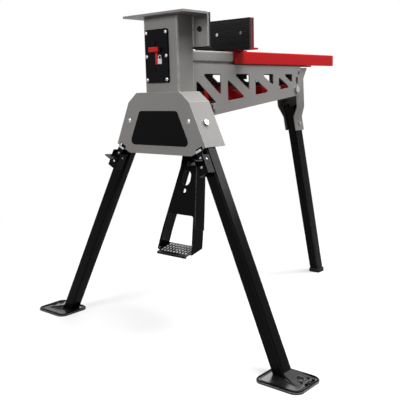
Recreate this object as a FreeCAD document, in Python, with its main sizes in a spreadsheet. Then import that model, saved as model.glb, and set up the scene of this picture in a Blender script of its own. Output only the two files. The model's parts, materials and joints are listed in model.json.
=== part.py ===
"""Folding workbench with a foot-operated clamping jaw, modelled as separate pieces in millimetres.

While it is built, y is 0 at the front face of the leg bracket. At the end every piece is moved back by half the
depth, so that the origin lies on the floor under the middle of the bench. The front of the bench faces -y.
"""
import FreeCAD, Part
import math
import os
from types import SimpleNamespace

import Sketcher
from FreeCAD import Placement, Rotation, Vector

X_AXIS, Y_AXIS, Z_AXIS = Vector(1, 0, 0), Vector(0, 1, 0), Vector(0, 0, 1)
SIDES = {"left": -1, "right": 1}

SIZES = {
    # used by many pieces
    "overrun": 5, "slide_gap": 0.3, "pin_gap": 0.05, "steel": 3, "pivot_radius": 6, "hex_radius": 10.5,
    "hex_height": 7,
    # front column
    "column_width": 122, "column_depth": 62, "column_front": 19, "column_wall": 3, "column_corner": 5,
    "column_length": 300,
    # fixed jaw and its ledge
    "bench_height": 872, "jaw_steel": 6, "jaw_width": 218, "ledge_overhang": 28, "jaw_height": 86.5,
    "jaw_bend": 9, "pad_width": 202, "pad_thick": 9, "pad_height": 86.5, "pad_drop": 1.5,
    "fixed_pad_width": 215, "fixed_pad_height": 89.5, "small_head_radius": 5,
    "jaw_bolt_spread": 166, "jaw_bolt_drop": 42, "jaw_bolt_radius": 4, "jaw_head_radius": 7, "jaw_head_height": 3.5,
    "screw_share": 0.8,
    # rail and the bar under it
    "rail_width": 84, "rail_height": 28.5, "rail_drop": 121, "rail_wall": 3, "rail_corner": 4, "frame_rear": 628,
    "neck_width": 72, "neck_height": 8, "slot_width": 16, "slot_front": 108, "slot_rear": 590,
    # truss side plates
    "truss_width": 90, "side_steel": 3, "side_flange": 22, "truss_front_depth": 149.5, "truss_rear_depth": 92,
    "top_chord": 25.5, "bottom_chord": 31, "post_width": 31, "brace_width": 28, "last_brace": 19, "brace_rise": 2,
    "first_bay": 106, "bay_one": 105.5, "bay_two": 103, "bay_three": 94, "bay_four": 76.5, "truss_end_radius": 20,
    "window_radius": 4, "end_hole_radius": 7, "end_hole_inset": 10.5, "end_hole_drop": 22, "end_slot_radius": 6,
    "end_slot_height": 25, "end_slot_inset": 22, "end_slot_drop": 46,
    # leg bracket
    "bracket_depth": 79, "bracket_drop": 201, "bracket_top_half": 78, "shoulder_drop": 25.5,
    "shoulder_half": 110.5, "wall_lean": 24.5, "skirt_drop": 138.5, "skirt_point": 24, "skirt_half": 113,
    "bracket_bend": 5, "panel_thick": 1.5, "panel_drop": 48, "panel_top_half": 68, "panel_height": 91,
    "panel_half": 110, "panel_corner": 12, "bracket_screw_x": 108, "bracket_screw_drop": 74,
    "bracket_screw_radius": 3, "bracket_head_radius": 6.5, "bracket_head_height": 3,
    # front legs
    "leg_tube": 35, "leg_wall": 2, "leg_corner": 4, "leg_toe": 1.8, "leg_lean": 4.2, "leg_clearance": 1.82,
    "leg_pivot_back": 33, "leg_pivot_drop": 89, "leg_top": 17, "leg_bolt_radius": 5, "leg_hex_radius": 8.5,
    "leg_hex_height": 6, "washer_radius": 11, "washer_gap": 0.4, "cheek_gap": 2, "cheek_depth": 54,
    "cheek_height": 62, "cheek_flange_height": 30, "cheek_flange_reach": 42,
    # feet of the front legs
    "foot_thick": 5, "foot_length": 126, "foot_width": 106, "foot_corner": 22, "foot_inner": 42, "foot_back": 38,
    "foot_hole_radius": 9, "foot_hole_inset": 38, "foot_screw_radius": 4, "foot_screw_inset": 10, "ramp_height": 17,
    "ramp_gap": 4, "ramp_front": 40, "ramp_back": 28,
    # leg latches
    "latch_width": 33, "latch_steel": 2.5, "latch_depth": 24, "latch_gap": 34.5, "latch_height": 48,
    "latch_pin_out": 13, "latch_pin_drop": 11, "latch_pin_radius": 2.5, "tongue_width": 18, "tongue_steel": 3,
    "tongue_rise": 18, "tab_length": 40, "latch_cover_height": 26, "notch_gap": 3,
    "latch_boss_radius": 5,
    # clamp lock on the column
    "lock_width": 82, "lock_height": 137, "lock_drop": 33, "lock_depth": 5.5, "lock_wall": 1.5, "lock_aside": 11,
    "lock_corner": 6, "lock_screw_x": 35.2, "lock_screw_z": 60.5, "lock_screw_radius": 3, "lock_head_radius": 5,
    "lock_head_height": 2, "lock_slot_width": 9, "lock_slot_height": 76, "lock_slot_rise": 30,
    "lever_bar_width": 34, "lever_bar_height": 13, "lever_bar_depth": 9, "lever_bar_rise": 78.5,
    "lever_reach": 3, "lever_stem_height": 31, "slide_width": 40, "slide_height": 60, "slide_steel": 3,
    # jaw carriage
    "sleeve_front": 274, "sleeve_length": 559, "sleeve_wall": 2, "sleeve_side": 7, "sleeve_lip": 5, "sleeve_corner": 3,
    "lip_reach": 4, "base_steel": 2, "base_length": 57, "jaw_flange": 33, "moving_pad_front": 271,
    "moving_plate_steel": 5, "moving_bolt_inner": -12, "moving_bolt_outer": 74,
    "pawl_front": 300, "pawl_carrier_length": 85, "pawl_pin_back": 18, "pawl_carrier_width": 14, "pawl_carrier_gap": 7,
    "pawl_width": 8, "pawl_pin_radius": 3, "pawl_pin_rise": 14, "pawl_boss_radius": 7, "pawl_tip_gap": 0.8,
    "pawl_tip_run": 24,
    # foot pedal
    "pedal_pivot_back": 176, "pedal_pivot_drop": 115, "pedal_lean": 16.1, "pedal_face": 14, "pedal_flange": 40,
    "pedal_steel": 2.5, "pedal_top_half": 28.5, "pedal_waist_half": 59.2, "pedal_bottom_half": 66.5,
    "pedal_head": 15, "pedal_neck": 177, "pedal_waist": 354, "pedal_bottom": 415, "pedal_plate_top": 22,
    "pedal_hole_radius": 6, "pedal_upper_drop": 167.5, "pedal_lower_drop": 243, "pedal_slot_drop": 207,
    "pedal_slot_width": 31, "pedal_slot_length": 42, "pedal_window_top": 311, "pedal_window_corner": 7,
    "pedal_window_border": 5, "pedal_foot_border": 5, "tread_width": 109, "tread_steel": 3, "tread_out": 14,
    "tread_rear": 392, "tread_lip": 7, "spacer_radius": 10,
    # crank, drive channel and rack
    "crank_pin_rise": 2, "crank_steel": 4, "crank_half": 20, "crank_width": 18, "hub_radius": 11,
    "crank_pin_radius": 4.5, "crank_pin_play": 0.6, "crank_pin_lift": 3.2, "drive_front": 225, "drive_rear": 575,
    "drive_drop": 59, "drive_height": 42, "drive_half": 24, "drive_wall": 2.5, "drive_travel": 20, "rod_radius": 6,
    "front_rod_back": 300, "rear_rod_back": 505, "rack_width": 16, "rack_height": 12, "rack_front": 158,
    "rack_eye_length": 36, "rack_eye_depth": 26, "rack_pitch": 12, "rack_tooth": 5, "teeth_front": 204,
    "rack_tooth_count": 29,
    # rear leg
    "rear_pivot_back": 602, "rear_pivot_drop": 74, "rear_lean": 15.6, "rear_axis_back": 56.5, "rear_axis_drop": 109,
    "rear_tube_drop": 51, "cap_height": 14, "cap_width": 41, "cap_corner": 5, "rear_upper_half": 38.5,
    "rear_lower_half": 21, "rear_taper_drop": 57, "rear_taper_height": 34, "rear_bracket_gap": 5,
    "rear_bracket_drop": 137, "rear_hook": 76, "rear_waist": 54, "rear_waist_rise": 34, "rear_back": 60,
    "rear_front": 7, "rear_bolt_drop": 113, "rear_bolt_radius": 4, "rear_side_play": 0.5,
}

doc = FreeCAD.newDocument("folding_workbench")
sheet = doc.addObject("Spreadsheet::Sheet", "sizes")
for row, (alias, number) in enumerate(SIZES.items(), start=1):
    sheet.set(f"A{row}", alias)
    sheet.set(f"B{row}", str(number))
    sheet.setAlias(f"B{row}", alias)
doc.recompute()


def words_of(size):
    """The formula of a size, or a plain number's own digits."""
    return getattr(size, "words", repr(float(size)))


class Size(float):
    """A number that remembers the formula of sheet cells that it comes from."""

    def __new__(cls, number, words):
        size = super().__new__(cls, number)
        size.words = words
        return size

    def __add__(self, other):
        return Size(float(self) + float(other), f"({self.words} + {words_of(other)})")

    def __radd__(self, other):
        return Size(float(other) + float(self), f"({words_of(other)} + {self.words})")

    def __sub__(self, other):
        return Size(float(self) - float(other), f"({self.words} - {words_of(other)})")

    def __rsub__(self, other):
        return Size(float(other) - float(self), f"({words_of(other)} - {self.words})")

    def __mul__(self, other):
        return Size(float(self) * float(other), f"({self.words} * {words_of(other)})")

    __rmul__ = __mul__

    def __truediv__(self, other):
        return Size(float(self) / float(other), f"({self.words} / {words_of(other)})")

    def __neg__(self):
        return Size(-float(self), f"(-{self.words})")


d = SimpleNamespace(**{alias: Size(float(sheet.get(alias)), f"sizes.{alias}") for alias in SIZES})
parts = {}

# Heights that follow from the height of the bench
d.ledge_under = d.bench_height - d.jaw_steel
d.column_bottom = d.ledge_under - d.column_length
d.rail_bottom = d.bench_height - d.rail_drop
d.truss_top = d.rail_bottom - d.neck_height
d.truss_front_bottom = d.truss_top - d.truss_front_depth
d.truss_rear_bottom = d.truss_top - d.truss_rear_depth
d.bracket_top = d.bench_height - d.bracket_drop
d.shoulder_height = d.bracket_top - d.shoulder_drop
d.skirt_height = d.bracket_top - d.skirt_drop
d.skirt_bottom = d.skirt_height - d.skirt_point
d.panel_top = d.bracket_top - d.panel_drop
d.panel_bottom = d.panel_top - d.panel_height
d.bracket_screw_z = d.bracket_top - d.bracket_screw_drop
d.lock_bottom = d.ledge_under - d.lock_drop - d.lock_height
d.lock_slot_bottom = d.lock_bottom + d.lock_slot_rise
d.lever_bar_bottom = d.lock_bottom + d.lever_bar_rise
d.drive_top = d.truss_top - d.drive_drop
d.rack_top = d.drive_top + d.rack_height
d.pawl_carrier_bottom = d.rack_top + d.pawl_carrier_gap
d.pedal_pivot_z = d.truss_top - d.pedal_pivot_drop
d.crank_length = d.drive_top + d.crank_pin_rise - d.pedal_pivot_z
d.rear_pivot_z = d.truss_top - d.rear_pivot_drop
d.rear_axis_z = d.rear_pivot_z - d.rear_axis_drop
d.rear_tube_top = d.rear_pivot_z - d.rear_tube_drop
d.rear_taper_top = d.rear_pivot_z - d.rear_taper_drop
d.rear_taper_bottom = d.rear_taper_top - d.rear_taper_height
d.rear_bracket_top = d.truss_top - d.rear_bracket_gap
d.rear_bracket_bottom = d.rear_pivot_z - d.rear_bracket_drop
d.rear_waist_height = d.rear_pivot_z + d.rear_waist_rise

# The front legs hang on bolts square to the bracket's walls, and spread a little more than the walls do, so a leg
# stands further in from a longer wall.
d.leg_splay = d.wall_lean + d.leg_toe
d.leg_pivot_z = d.bracket_top - d.leg_pivot_drop
d.wall_below = d.leg_pivot_z - d.skirt_height
d.leg_inset = d.leg_tube / 2 + d.steel + d.leg_clearance + d.wall_below * math.tan(math.radians(d.leg_toe))
wall_slope = math.tan(math.radians(d.wall_lean))
d.leg_pivot_x = (d.shoulder_half + (d.shoulder_height - d.leg_pivot_z) * wall_slope
                 - d.leg_inset / math.cos(math.radians(d.wall_lean)))
d.latch_top = d.wall_below + d.latch_gap
d.latch_bottom = d.latch_top + d.latch_height
d.latch_pin_down = d.latch_top + d.latch_pin_drop
d.tongue_top = d.latch_top - d.tongue_rise
d.latch_cover_top = d.latch_bottom - d.latch_cover_height

# How far the foot plate's features lie outwards from the foot of the leg's axis
d.foot_outer = d.foot_length - d.foot_inner
d.foot_hole_out = d.foot_outer - d.foot_hole_inset
d.foot_screw_out = d.foot_outer - d.foot_screw_inset
d.ramp_length = d.foot_screw_out - d.foot_screw_radius - d.ramp_gap


def bind(thing, **sizes):
    """Ties a document object's sizes to the sheet."""
    for name, size in sizes.items():
        if isinstance(size, Size):
            thing.setExpression(name, size.words)
        else:
            setattr(thing, name, size)


def put(thing, x, y, z, frame, turn=None):
    """Places an object at a point of a frame."""
    spot = Placement(Vector(float(x), float(y), float(z)), turn or Rotation())
    thing.Placement = frame.multiply(spot) if frame else spot
    return thing


def box(name, across, deep, high, x, y, z, frame=None):
    """A block with its lowest corner at x, y, z."""
    block = doc.addObject("Part::Box", name)
    bind(block, Length=across, Width=deep, Height=high)
    return put(block, x, y, z, frame)


def middle_box(name, across, deep, high, y, z, frame=None):
    """A block whose width is centred on x = 0."""
    return box(name, across, deep, high, -across / 2, y, z, frame)


def rod(name, radius, length, x, y, z, axis=Z_AXIS, frame=None):
    """A round bar that starts at x, y, z and runs along an axis."""
    bar = doc.addObject("Part::Cylinder", name)
    bind(bar, Radius=radius, Height=length)
    return put(bar, x, y, z, frame, Rotation(Z_AXIS, axis))


def hexagon(name, radius, height, x, y, z, axis=Z_AXIS, frame=None):
    """A six-sided bolt head or nut."""
    head = doc.addObject("Part::Prism", name)
    head.Polygon = 6
    bind(head, Circumradius=radius, Height=height)
    return put(head, x, y, z, frame, Rotation(Z_AXIS, axis))


def fuse(name, *pieces):
    """One solid made of several that touch."""
    whole = doc.addObject("Part::MultiFuse", name)
    whole.Shapes = list(pieces)
    whole.Refine = True
    return whole


def cut(name, base, *tools):
    """A solid with others taken out of it."""
    rest = doc.addObject("Part::Cut", name)
    rest.Base = base
    rest.Tool = tools[0] if len(tools) == 1 else fuse(name + "_cuts", *tools)
    return rest


def common(name, one, other):
    """What two solids share."""
    shared = doc.addObject("Part::Common", name)
    shared.Base = one
    shared.Tool = other
    return shared


def group(name, pieces):
    """Separate like solids in one node."""
    bunch = doc.addObject("Part::Compound", name)
    bunch.Links = list(pieces)
    return bunch


def rounded(name, base, radius, pick):
    """A solid with the picked edges rounded."""
    doc.recompute()
    soft = doc.addObject("Part::Fillet", name)
    soft.Base = base
    edges = enumerate(base.Shape.Edges, start=1)
    soft.Edges = [(number, float(radius), float(radius)) for number, edge in edges if pick(edge)]
    return soft


def along(axis):
    """Picks straight edges that run along an axis."""
    def pick(edge):
        way = edge.tangentAt(edge.FirstParameter)
        return edge.Curve.TypeId == "Part::GeomLine" and abs(way.dot(axis)) > math.cos(math.radians(1))
    return pick


def panel(name, plane, loops, thick, x=0, y=0, z=0, frame=None, middle=False):
    """A flat piece padded from a sketch of closed outlines, the first one outside and the others holes in it.

    A point's coordinate that comes from the sheet is held to it by a distance from the sketch's origin.
    """
    body = doc.addObject("PartDesign::Body", name)
    sketch = body.newObject("Sketcher::SketchObject", name + "_outline")
    role = f"{plane}_Plane"
    sketch.AttachmentSupport = [(next(f for f in body.Origin.OriginFeatures if f.Role == role), "")]
    sketch.MapMode = "FlatFace"
    for points in loops:
        first = sketch.GeometryCount
        ends = points[1:] + points[:1]
        for start, end in zip(points, ends):
            ends_at = [Vector(*map(float, point), 0) for point in (start, end)]
            sketch.addGeometry(Part.LineSegment(*ends_at), False)
        for number, point in enumerate(points):
            after = first + (number + 1) % len(points)
            sketch.addConstraint(Sketcher.Constraint("Coincident", first + number, 2, after, 1))
            for way, size in zip(("DistanceX", "DistanceY"), point):
                if isinstance(size, Size):
                    held = sketch.addConstraint(Sketcher.Constraint(way, -1, 1, first + number, 1, float(size)))
                    sketch.renameConstraint(held, f"size_{held}")
                    sketch.setExpression(f"Constraints.size_{held}", size.words)
    pad = body.newObject("PartDesign::Pad", name + "_pad")
    pad.Profile = sketch
    bind(pad, Length=thick)
    pad.Midplane = middle
    pad.Reversed = plane == "XZ"
    return put(body, x, y, z, frame)


def mirrored(points):
    """An outline from its right half, listed from top to bottom."""
    return points + [(-x, y) for x, y in reversed(points)]


def inner_corner(before, corner, after, gap):
    """A corner of an outline moved inwards by a wall, where the outline runs clockwise."""
    corner = Vector(*map(float, corner), 0)
    come = (corner - Vector(*map(float, before), 0)).normalize()
    go = (Vector(*map(float, after), 0) - corner).normalize()
    one, two = Vector(come.y, -come.x, 0), Vector(go.y, -go.x, 0)
    moved = corner + (one + two) * (float(gap) / (1 + one.dot(two)))
    return moved.x, moved.y


def keep(label, thing):
    """Names a finished sub-part."""
    thing.Label = label
    parts[label] = thing
    return thing


def tilted(x, y, z, *turns):
    """A frame at a point, turned by the given axis and angle pairs, the last one first."""
    turn = Rotation()
    for axis, angle in turns:
        turn = turn.multiply(Rotation(axis, float(angle)))
    return Placement(Vector(float(x), float(y), float(z)), turn)


# Places that several pieces share
column_rear = d.column_front + d.column_depth
ledge_under = d.ledge_under
jaw_rear = column_rear + d.jaw_steel
truss_top = d.truss_top
truss_half = d.truss_width / 2
truss_inner = truss_half - d.side_steel
rail_top = d.rail_bottom + d.rail_height
frame_length = d.frame_rear - column_rear
pin_bore = d.pivot_radius + d.pin_gap
jaw_bolt_z = d.bench_height - d.jaw_bolt_drop
rod_z = d.drive_top - d.drive_wall - d.rod_radius - d.slide_gap


def across_holes(name, spots):
    """Holes through both side plates, each at y, z with its radius."""
    length = d.truss_width + 2 * d.overrun
    return [rod(f"{name}_{n}", r, length, -length / 2, y, z, X_AXIS) for n, (y, z, r) in enumerate(spots)]


def end_holes(name):
    """The round hole and the upright slot near the rear end of the truss, which the rear bracket has as well."""
    back, z = d.frame_rear - d.end_slot_inset, truss_top - d.end_slot_drop
    reach = d.end_slot_height / 2 - d.end_slot_radius
    spots = [(d.frame_rear - d.end_hole_inset, truss_top - d.end_hole_drop, d.end_hole_radius),
             (back, z - reach, d.end_slot_radius), (back, z + reach, d.end_slot_radius)]
    middle = middle_box(f"{name}_middle", d.truss_width + 2 * d.overrun, 2 * d.end_slot_radius, 2 * reach,
                        back - d.end_slot_radius, z - reach)
    return across_holes(name, spots) + [middle]


def lock_box(name, width, depth, height, y, z):
    """A block on the middle line of the clamp lock, which sits to the left on the column."""
    return box(name, width, depth, height, -d.lock_aside - width / 2, y, z)


def front_column():
    height = ledge_under - d.column_bottom
    outside = middle_box("column_outside", d.column_width, d.column_depth, height, d.column_front, d.column_bottom)
    inside = middle_box(
        "column_inside", d.column_width - 2 * d.column_wall, d.column_depth - 2 * d.column_wall,
        height + 2 * d.overrun, d.column_front + d.column_wall, d.column_bottom - d.overrun,
    )
    slot = lock_box(
        "column_slot", d.lock_slot_width, d.column_wall + d.overrun, d.lock_slot_height,
        d.column_front - d.overrun / 2, d.lock_slot_bottom,
    )
    soft = rounded("column_soft", outside, d.column_corner, along(Z_AXIS))
    keep("front_column", cut("column_tube", soft, inside, slot))


def fixed_jaw():
    front, low = d.column_front - d.ledge_overhang, d.bench_height - d.jaw_height
    bent = panel("jaw_bent", "YZ", [[
        (front, ledge_under), (front, d.bench_height), (jaw_rear, d.bench_height), (jaw_rear, low),
        (column_rear, low), (column_rear, ledge_under),
    ]], d.jaw_width, middle=True)

    def bend(edge):
        middle = edge.CenterOfMass
        return along(X_AXIS)(edge) and middle.y > jaw_rear - d.pin_gap and middle.z > d.bench_height - d.pin_gap

    plate = rounded("jaw_plate_soft", bent, d.jaw_bend, bend)
    spots = [-d.jaw_bolt_spread / 2, d.jaw_bolt_spread / 2]
    bore = d.jaw_bolt_radius + d.pin_gap
    depth = d.jaw_steel + d.pad_thick + 2 * d.overrun
    holes = [rod(f"jaw_hole_{n}", bore, depth, x, column_rear - d.overrun, jaw_bolt_z, Y_AXIS)
             for n, x in enumerate(spots)]
    keep("fixed_jaw_plate", cut("jaw_drilled", plate, *holes))
    pad_z = d.bench_height - d.pad_drop - d.fixed_pad_height
    pad = middle_box("fixed_pad", d.fixed_pad_width, d.pad_thick, d.fixed_pad_height, jaw_rear, pad_z)
    keep("fixed_jaw_pad", cut("fixed_pad_drilled", pad, *holes))
    screws = []
    for number, x in enumerate(spots):
        head = rod(f"jaw_head_{number}", d.jaw_head_radius, d.jaw_head_height, x, column_rear - d.jaw_head_height,
                   jaw_bolt_z, Y_AXIS)
        length = d.jaw_steel + d.pad_thick * d.screw_share
        shank = rod(f"jaw_shank_{number}", d.jaw_bolt_radius, length, x, column_rear, jaw_bolt_z, Y_AXIS)
        screws.append(fuse(f"jaw_screw_{number}", head, shank))
    keep("fixed_jaw_screws", group("jaw_screws", screws))


def truss_windows():
    """The two three-cornered windows of each bay, which leave a brace from its top front to its bottom rear."""
    slope = (d.truss_rear_bottom - d.truss_front_bottom) / frame_length
    top = truss_top - d.top_chord
    loops = []
    front = d.first_bay
    bays = [(d.bay_one, d.brace_width), (d.bay_two, d.brace_width), (d.bay_three, d.brace_width),
            (d.bay_four, d.last_brace)]
    for length, brace in bays:
        rear = front + length
        floor_front = d.truss_front_bottom + d.bottom_chord + slope * (front - column_rear)
        floor_rear = floor_front + slope * length
        fall = (top - floor_rear) / length
        half_brace = brace / 2 * math.hypot(1, fall)
        under, over = half_brace - d.brace_rise, half_brace + d.brace_rise
        corner = (top - under - floor_front) / (fall + slope)
        loops.append([(front, top - under), (front + corner, floor_front + slope * corner), (front, floor_front)])
        loops.append([(front + over / fall, top), (rear, top), (rear, floor_rear + over)])
        front = rear + d.post_width
    return loops


def side_plates():
    outline = [(column_rear, d.truss_front_bottom), (column_rear, truss_top), (d.frame_rear, truss_top),
               (d.frame_rear, d.truss_rear_bottom)]
    spots = [(d.pedal_pivot_back, d.pedal_pivot_z, pin_bore), (d.front_rod_back, rod_z, d.rod_radius + d.pin_gap),
             (d.rear_rod_back, rod_z, d.rod_radius + d.pin_gap), (d.rear_pivot_back, d.rear_pivot_z, pin_bore)]

    def end_corner(edge):
        middle = edge.CenterOfMass
        low = middle.z < d.truss_rear_bottom + d.side_steel
        return along(X_AXIS)(edge) and low and middle.y > d.frame_rear - d.side_steel

    def window_corner(edge):
        middle = edge.CenterOfMass
        inside = middle.y > d.first_bay - d.side_steel and middle.z < truss_top - d.side_steel
        return along(X_AXIS)(edge) and inside and middle.y < d.frame_rear - d.post_width

    for side, sign in SIDES.items():
        web = panel(f"truss_{side}", "YZ", [outline] + truss_windows(), d.side_steel,
                    x=truss_inner if sign > 0 else -truss_half)
        eased = rounded(f"truss_windows_{side}", web, d.window_radius, window_corner)
        soft = rounded(f"truss_end_{side}", eased, d.truss_end_radius, end_corner)
        flange = box(f"truss_flange_{side}", d.side_flange, frame_length, d.side_steel,
                     truss_inner - d.side_flange if sign > 0 else -truss_inner, column_rear, truss_top - d.side_steel)
        whole = fuse(f"truss_whole_{side}", soft, flange)
        holes = across_holes(f"truss_bore_{side}", spots) + end_holes(f"truss_end_hole_{side}")
        keep(f"side_plate_{side}", cut(f"truss_drilled_{side}", whole, *holes))


def rail_and_neck():
    slot_length = d.slot_rear - d.slot_front
    slot = middle_box("rail_slot", d.slot_width, slot_length, d.rail_height + d.neck_height + 2 * d.overrun,
                      d.slot_front, truss_top - d.overrun)
    bar = middle_box("neck_strip", d.neck_width, frame_length, d.neck_height, column_rear, truss_top)
    keep("neck_bar", cut("neck_slotted", bar, slot))
    outside = middle_box("rail_outside", d.rail_width, frame_length, d.rail_height, column_rear, d.rail_bottom)
    inside = middle_box("rail_inside", d.rail_width - 2 * d.rail_wall, frame_length + 2 * d.overrun,
                        d.rail_height - 2 * d.rail_wall, column_rear - d.overrun, d.rail_bottom + d.rail_wall)
    soft = rounded("rail_soft", outside, d.rail_corner, along(Y_AXIS))
    keep("rail", cut("rail_tube", soft, inside, slot))


def wall_frame(sign):
    """A frame where the leg's bolt meets the outer face of the bracket's wall: x outwards, z up along the wall."""
    lean = math.radians(d.wall_lean)
    x, z = d.leg_pivot_x + d.leg_inset * math.cos(lean), d.leg_pivot_z + d.leg_inset * math.sin(lean)
    return tilted(sign * x, d.leg_pivot_back, z, (Y_AXIS, -sign * d.wall_lean))


def leg_frame(sign, lean=True):
    """A frame at a front leg's pivot, with z up along the leg."""
    turns = [(Y_AXIS, -sign * d.leg_splay)]
    if lean:
        turns.append((X_AXIS, -d.leg_lean))
    return tilted(sign * d.leg_pivot_x, d.leg_pivot_back, d.leg_pivot_z, *turns)


def wall_rod(name, sign, radius, low, high):
    """A round bar along the leg bolt's axis, from low to high outwards from the bracket's wall."""
    frame = wall_frame(sign)
    return rod(name, radius, high - low, low if sign > 0 else -high, 0, 0, X_AXIS, frame)


def wall_inside():
    """How far the leg's outer face and the inner cheek's faces lie inside the wall's outer face."""
    outer = d.leg_inset - d.leg_tube / 2
    return outer, outer + d.leg_tube + d.cheek_gap


def leg_bracket():
    lean = math.tan(math.radians(d.wall_lean))
    skirt_x = d.shoulder_half + lean * (d.shoulder_height - d.skirt_height)
    half = [(d.bracket_top_half, d.bracket_top), (d.shoulder_half, d.shoulder_height), (skirt_x, d.skirt_height),
            (d.skirt_half, d.skirt_bottom)]
    outside = panel("bracket_outside", "XZ", [mirrored(half)], d.bracket_depth)

    def bends(edge):
        middle = edge.CenterOfMass
        return along(Y_AXIS)(edge) and middle.z > d.skirt_height + d.steel

    soft = rounded("bracket_soft", outside, d.bracket_bend, bends)
    top_left = (-d.bracket_top_half, d.bracket_top)
    inner = [inner_corner(top_left, half[0], half[1], d.steel), inner_corner(half[0], half[1], half[2], d.steel)]
    deep = d.skirt_bottom - d.overrun
    inner.append((inner[1][0] + lean * (inner[1][1] - deep), deep))
    inside = panel("bracket_inside", "XZ", [mirrored(inner)], d.bracket_depth, y=d.steel)
    column = middle_box("bracket_column", d.column_width, d.bracket_depth, d.bracket_top - d.shoulder_height,
                        d.column_front, d.shoulder_height + d.steel)
    tools = [inside, column]
    for side, sign in SIDES.items():
        tools.append(wall_rod(f"bracket_bore_{side}", sign, d.leg_bolt_radius + d.pin_gap, -d.steel - d.overrun,
                              d.overrun))
        wide = d.tongue_width + 2 * d.notch_gap
        tools.append(middle_box(f"bracket_notch_{side}", wide, d.steel + 2 * d.overrun, d.latch_top - d.tongue_top,
                                -d.leg_pivot_back - d.overrun, -d.latch_top + d.notch_gap * 3,
                                leg_frame(sign, lean=False)))
        tools.append(rod(f"bracket_screw_hole_{side}", d.bracket_screw_radius + d.pin_gap, d.steel + 2 * d.overrun,
                         sign * d.bracket_screw_x, -d.overrun, d.bracket_screw_z, Y_AXIS))
    keep("leg_bracket", cut("bracket_shell", soft, *tools))


def bracket_trim():
    outline = [(d.panel_top_half, d.panel_top), (d.panel_half, d.panel_bottom)]
    plate = panel("panel_plate", "XZ", [mirrored(outline)], d.panel_thick, y=-d.panel_thick)
    keep("name_panel", rounded("panel_soft", plate, d.panel_corner, along(Y_AXIS)))
    screws = []
    for side, sign in SIDES.items():
        x = sign * d.bracket_screw_x
        head = rod(f"bracket_head_{side}", d.bracket_head_radius, d.bracket_head_height, x, -d.bracket_head_height,
                   d.bracket_screw_z, Y_AXIS)
        shank = rod(f"bracket_shank_{side}", d.bracket_screw_radius, 2 * d.steel, x, 0, d.bracket_screw_z, Y_AXIS)
        screws.append(fuse(f"bracket_screw_{side}", head, shank))
    keep("bracket_screws", group("bracket_screw_pair", screws))


def leg_pivots():
    leg_face, cheek = wall_inside()
    bolts, washers = [], []
    for side, sign in SIDES.items():
        frame = wall_frame(sign)
        low = -cheek - d.steel
        start = low if sign > 0 else cheek
        plate = box(f"cheek_plate_{side}", d.steel, d.cheek_depth, d.cheek_height, start,
                    d.steel - d.leg_pivot_back, -d.cheek_height / 2, frame)
        flange = box(f"cheek_flange_{side}", d.cheek_flange_reach, d.steel, d.cheek_flange_height,
                     low if sign > 0 else cheek + d.steel - d.cheek_flange_reach, d.steel - d.leg_pivot_back,
                     -d.cheek_flange_height / 2, frame)
        bore = wall_rod(f"cheek_bore_{side}", sign, d.leg_bolt_radius + d.pin_gap, low - d.overrun,
                        d.overrun - cheek)
        screw = rod(f"cheek_screw_{side}", d.bracket_screw_radius + d.pin_gap, 4 * d.steel, sign * d.bracket_screw_x,
                    0, d.bracket_screw_z, Y_AXIS)
        keep(f"leg_cheek_{side}", cut(f"cheek_drilled_{side}", fuse(f"cheek_{side}", plate, flange), bore, screw))
        shank = wall_rod(f"leg_bolt_shank_{side}", sign, d.leg_bolt_radius, low - d.leg_hex_height, 0)
        head = hexagon(f"leg_bolt_head_{side}", d.leg_hex_radius, d.leg_hex_height,
                       0 if sign > 0 else -d.leg_hex_height, 0, 0, X_AXIS, frame)
        nut = hexagon(f"leg_bolt_nut_{side}", d.leg_hex_radius, d.leg_hex_height,
                      low - d.leg_hex_height if sign > 0 else cheek + d.steel, 0, 0, X_AXIS, frame)
        bolts.append(fuse(f"leg_bolt_{side}", shank, head, nut))
        ring = wall_rod(f"washer_ring_{side}", sign, d.washer_radius, d.washer_gap - leg_face, -d.steel)
        hole = wall_rod(f"washer_hole_{side}", sign, d.leg_bolt_radius + d.pin_gap, -leg_face - d.overrun, d.overrun)
        washers.append(cut(f"washer_{side}", ring, hole))
    keep("leg_pivot_bolts", group("leg_bolts", bolts))
    keep("leg_pivot_washers", group("leg_washers", washers))


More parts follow.
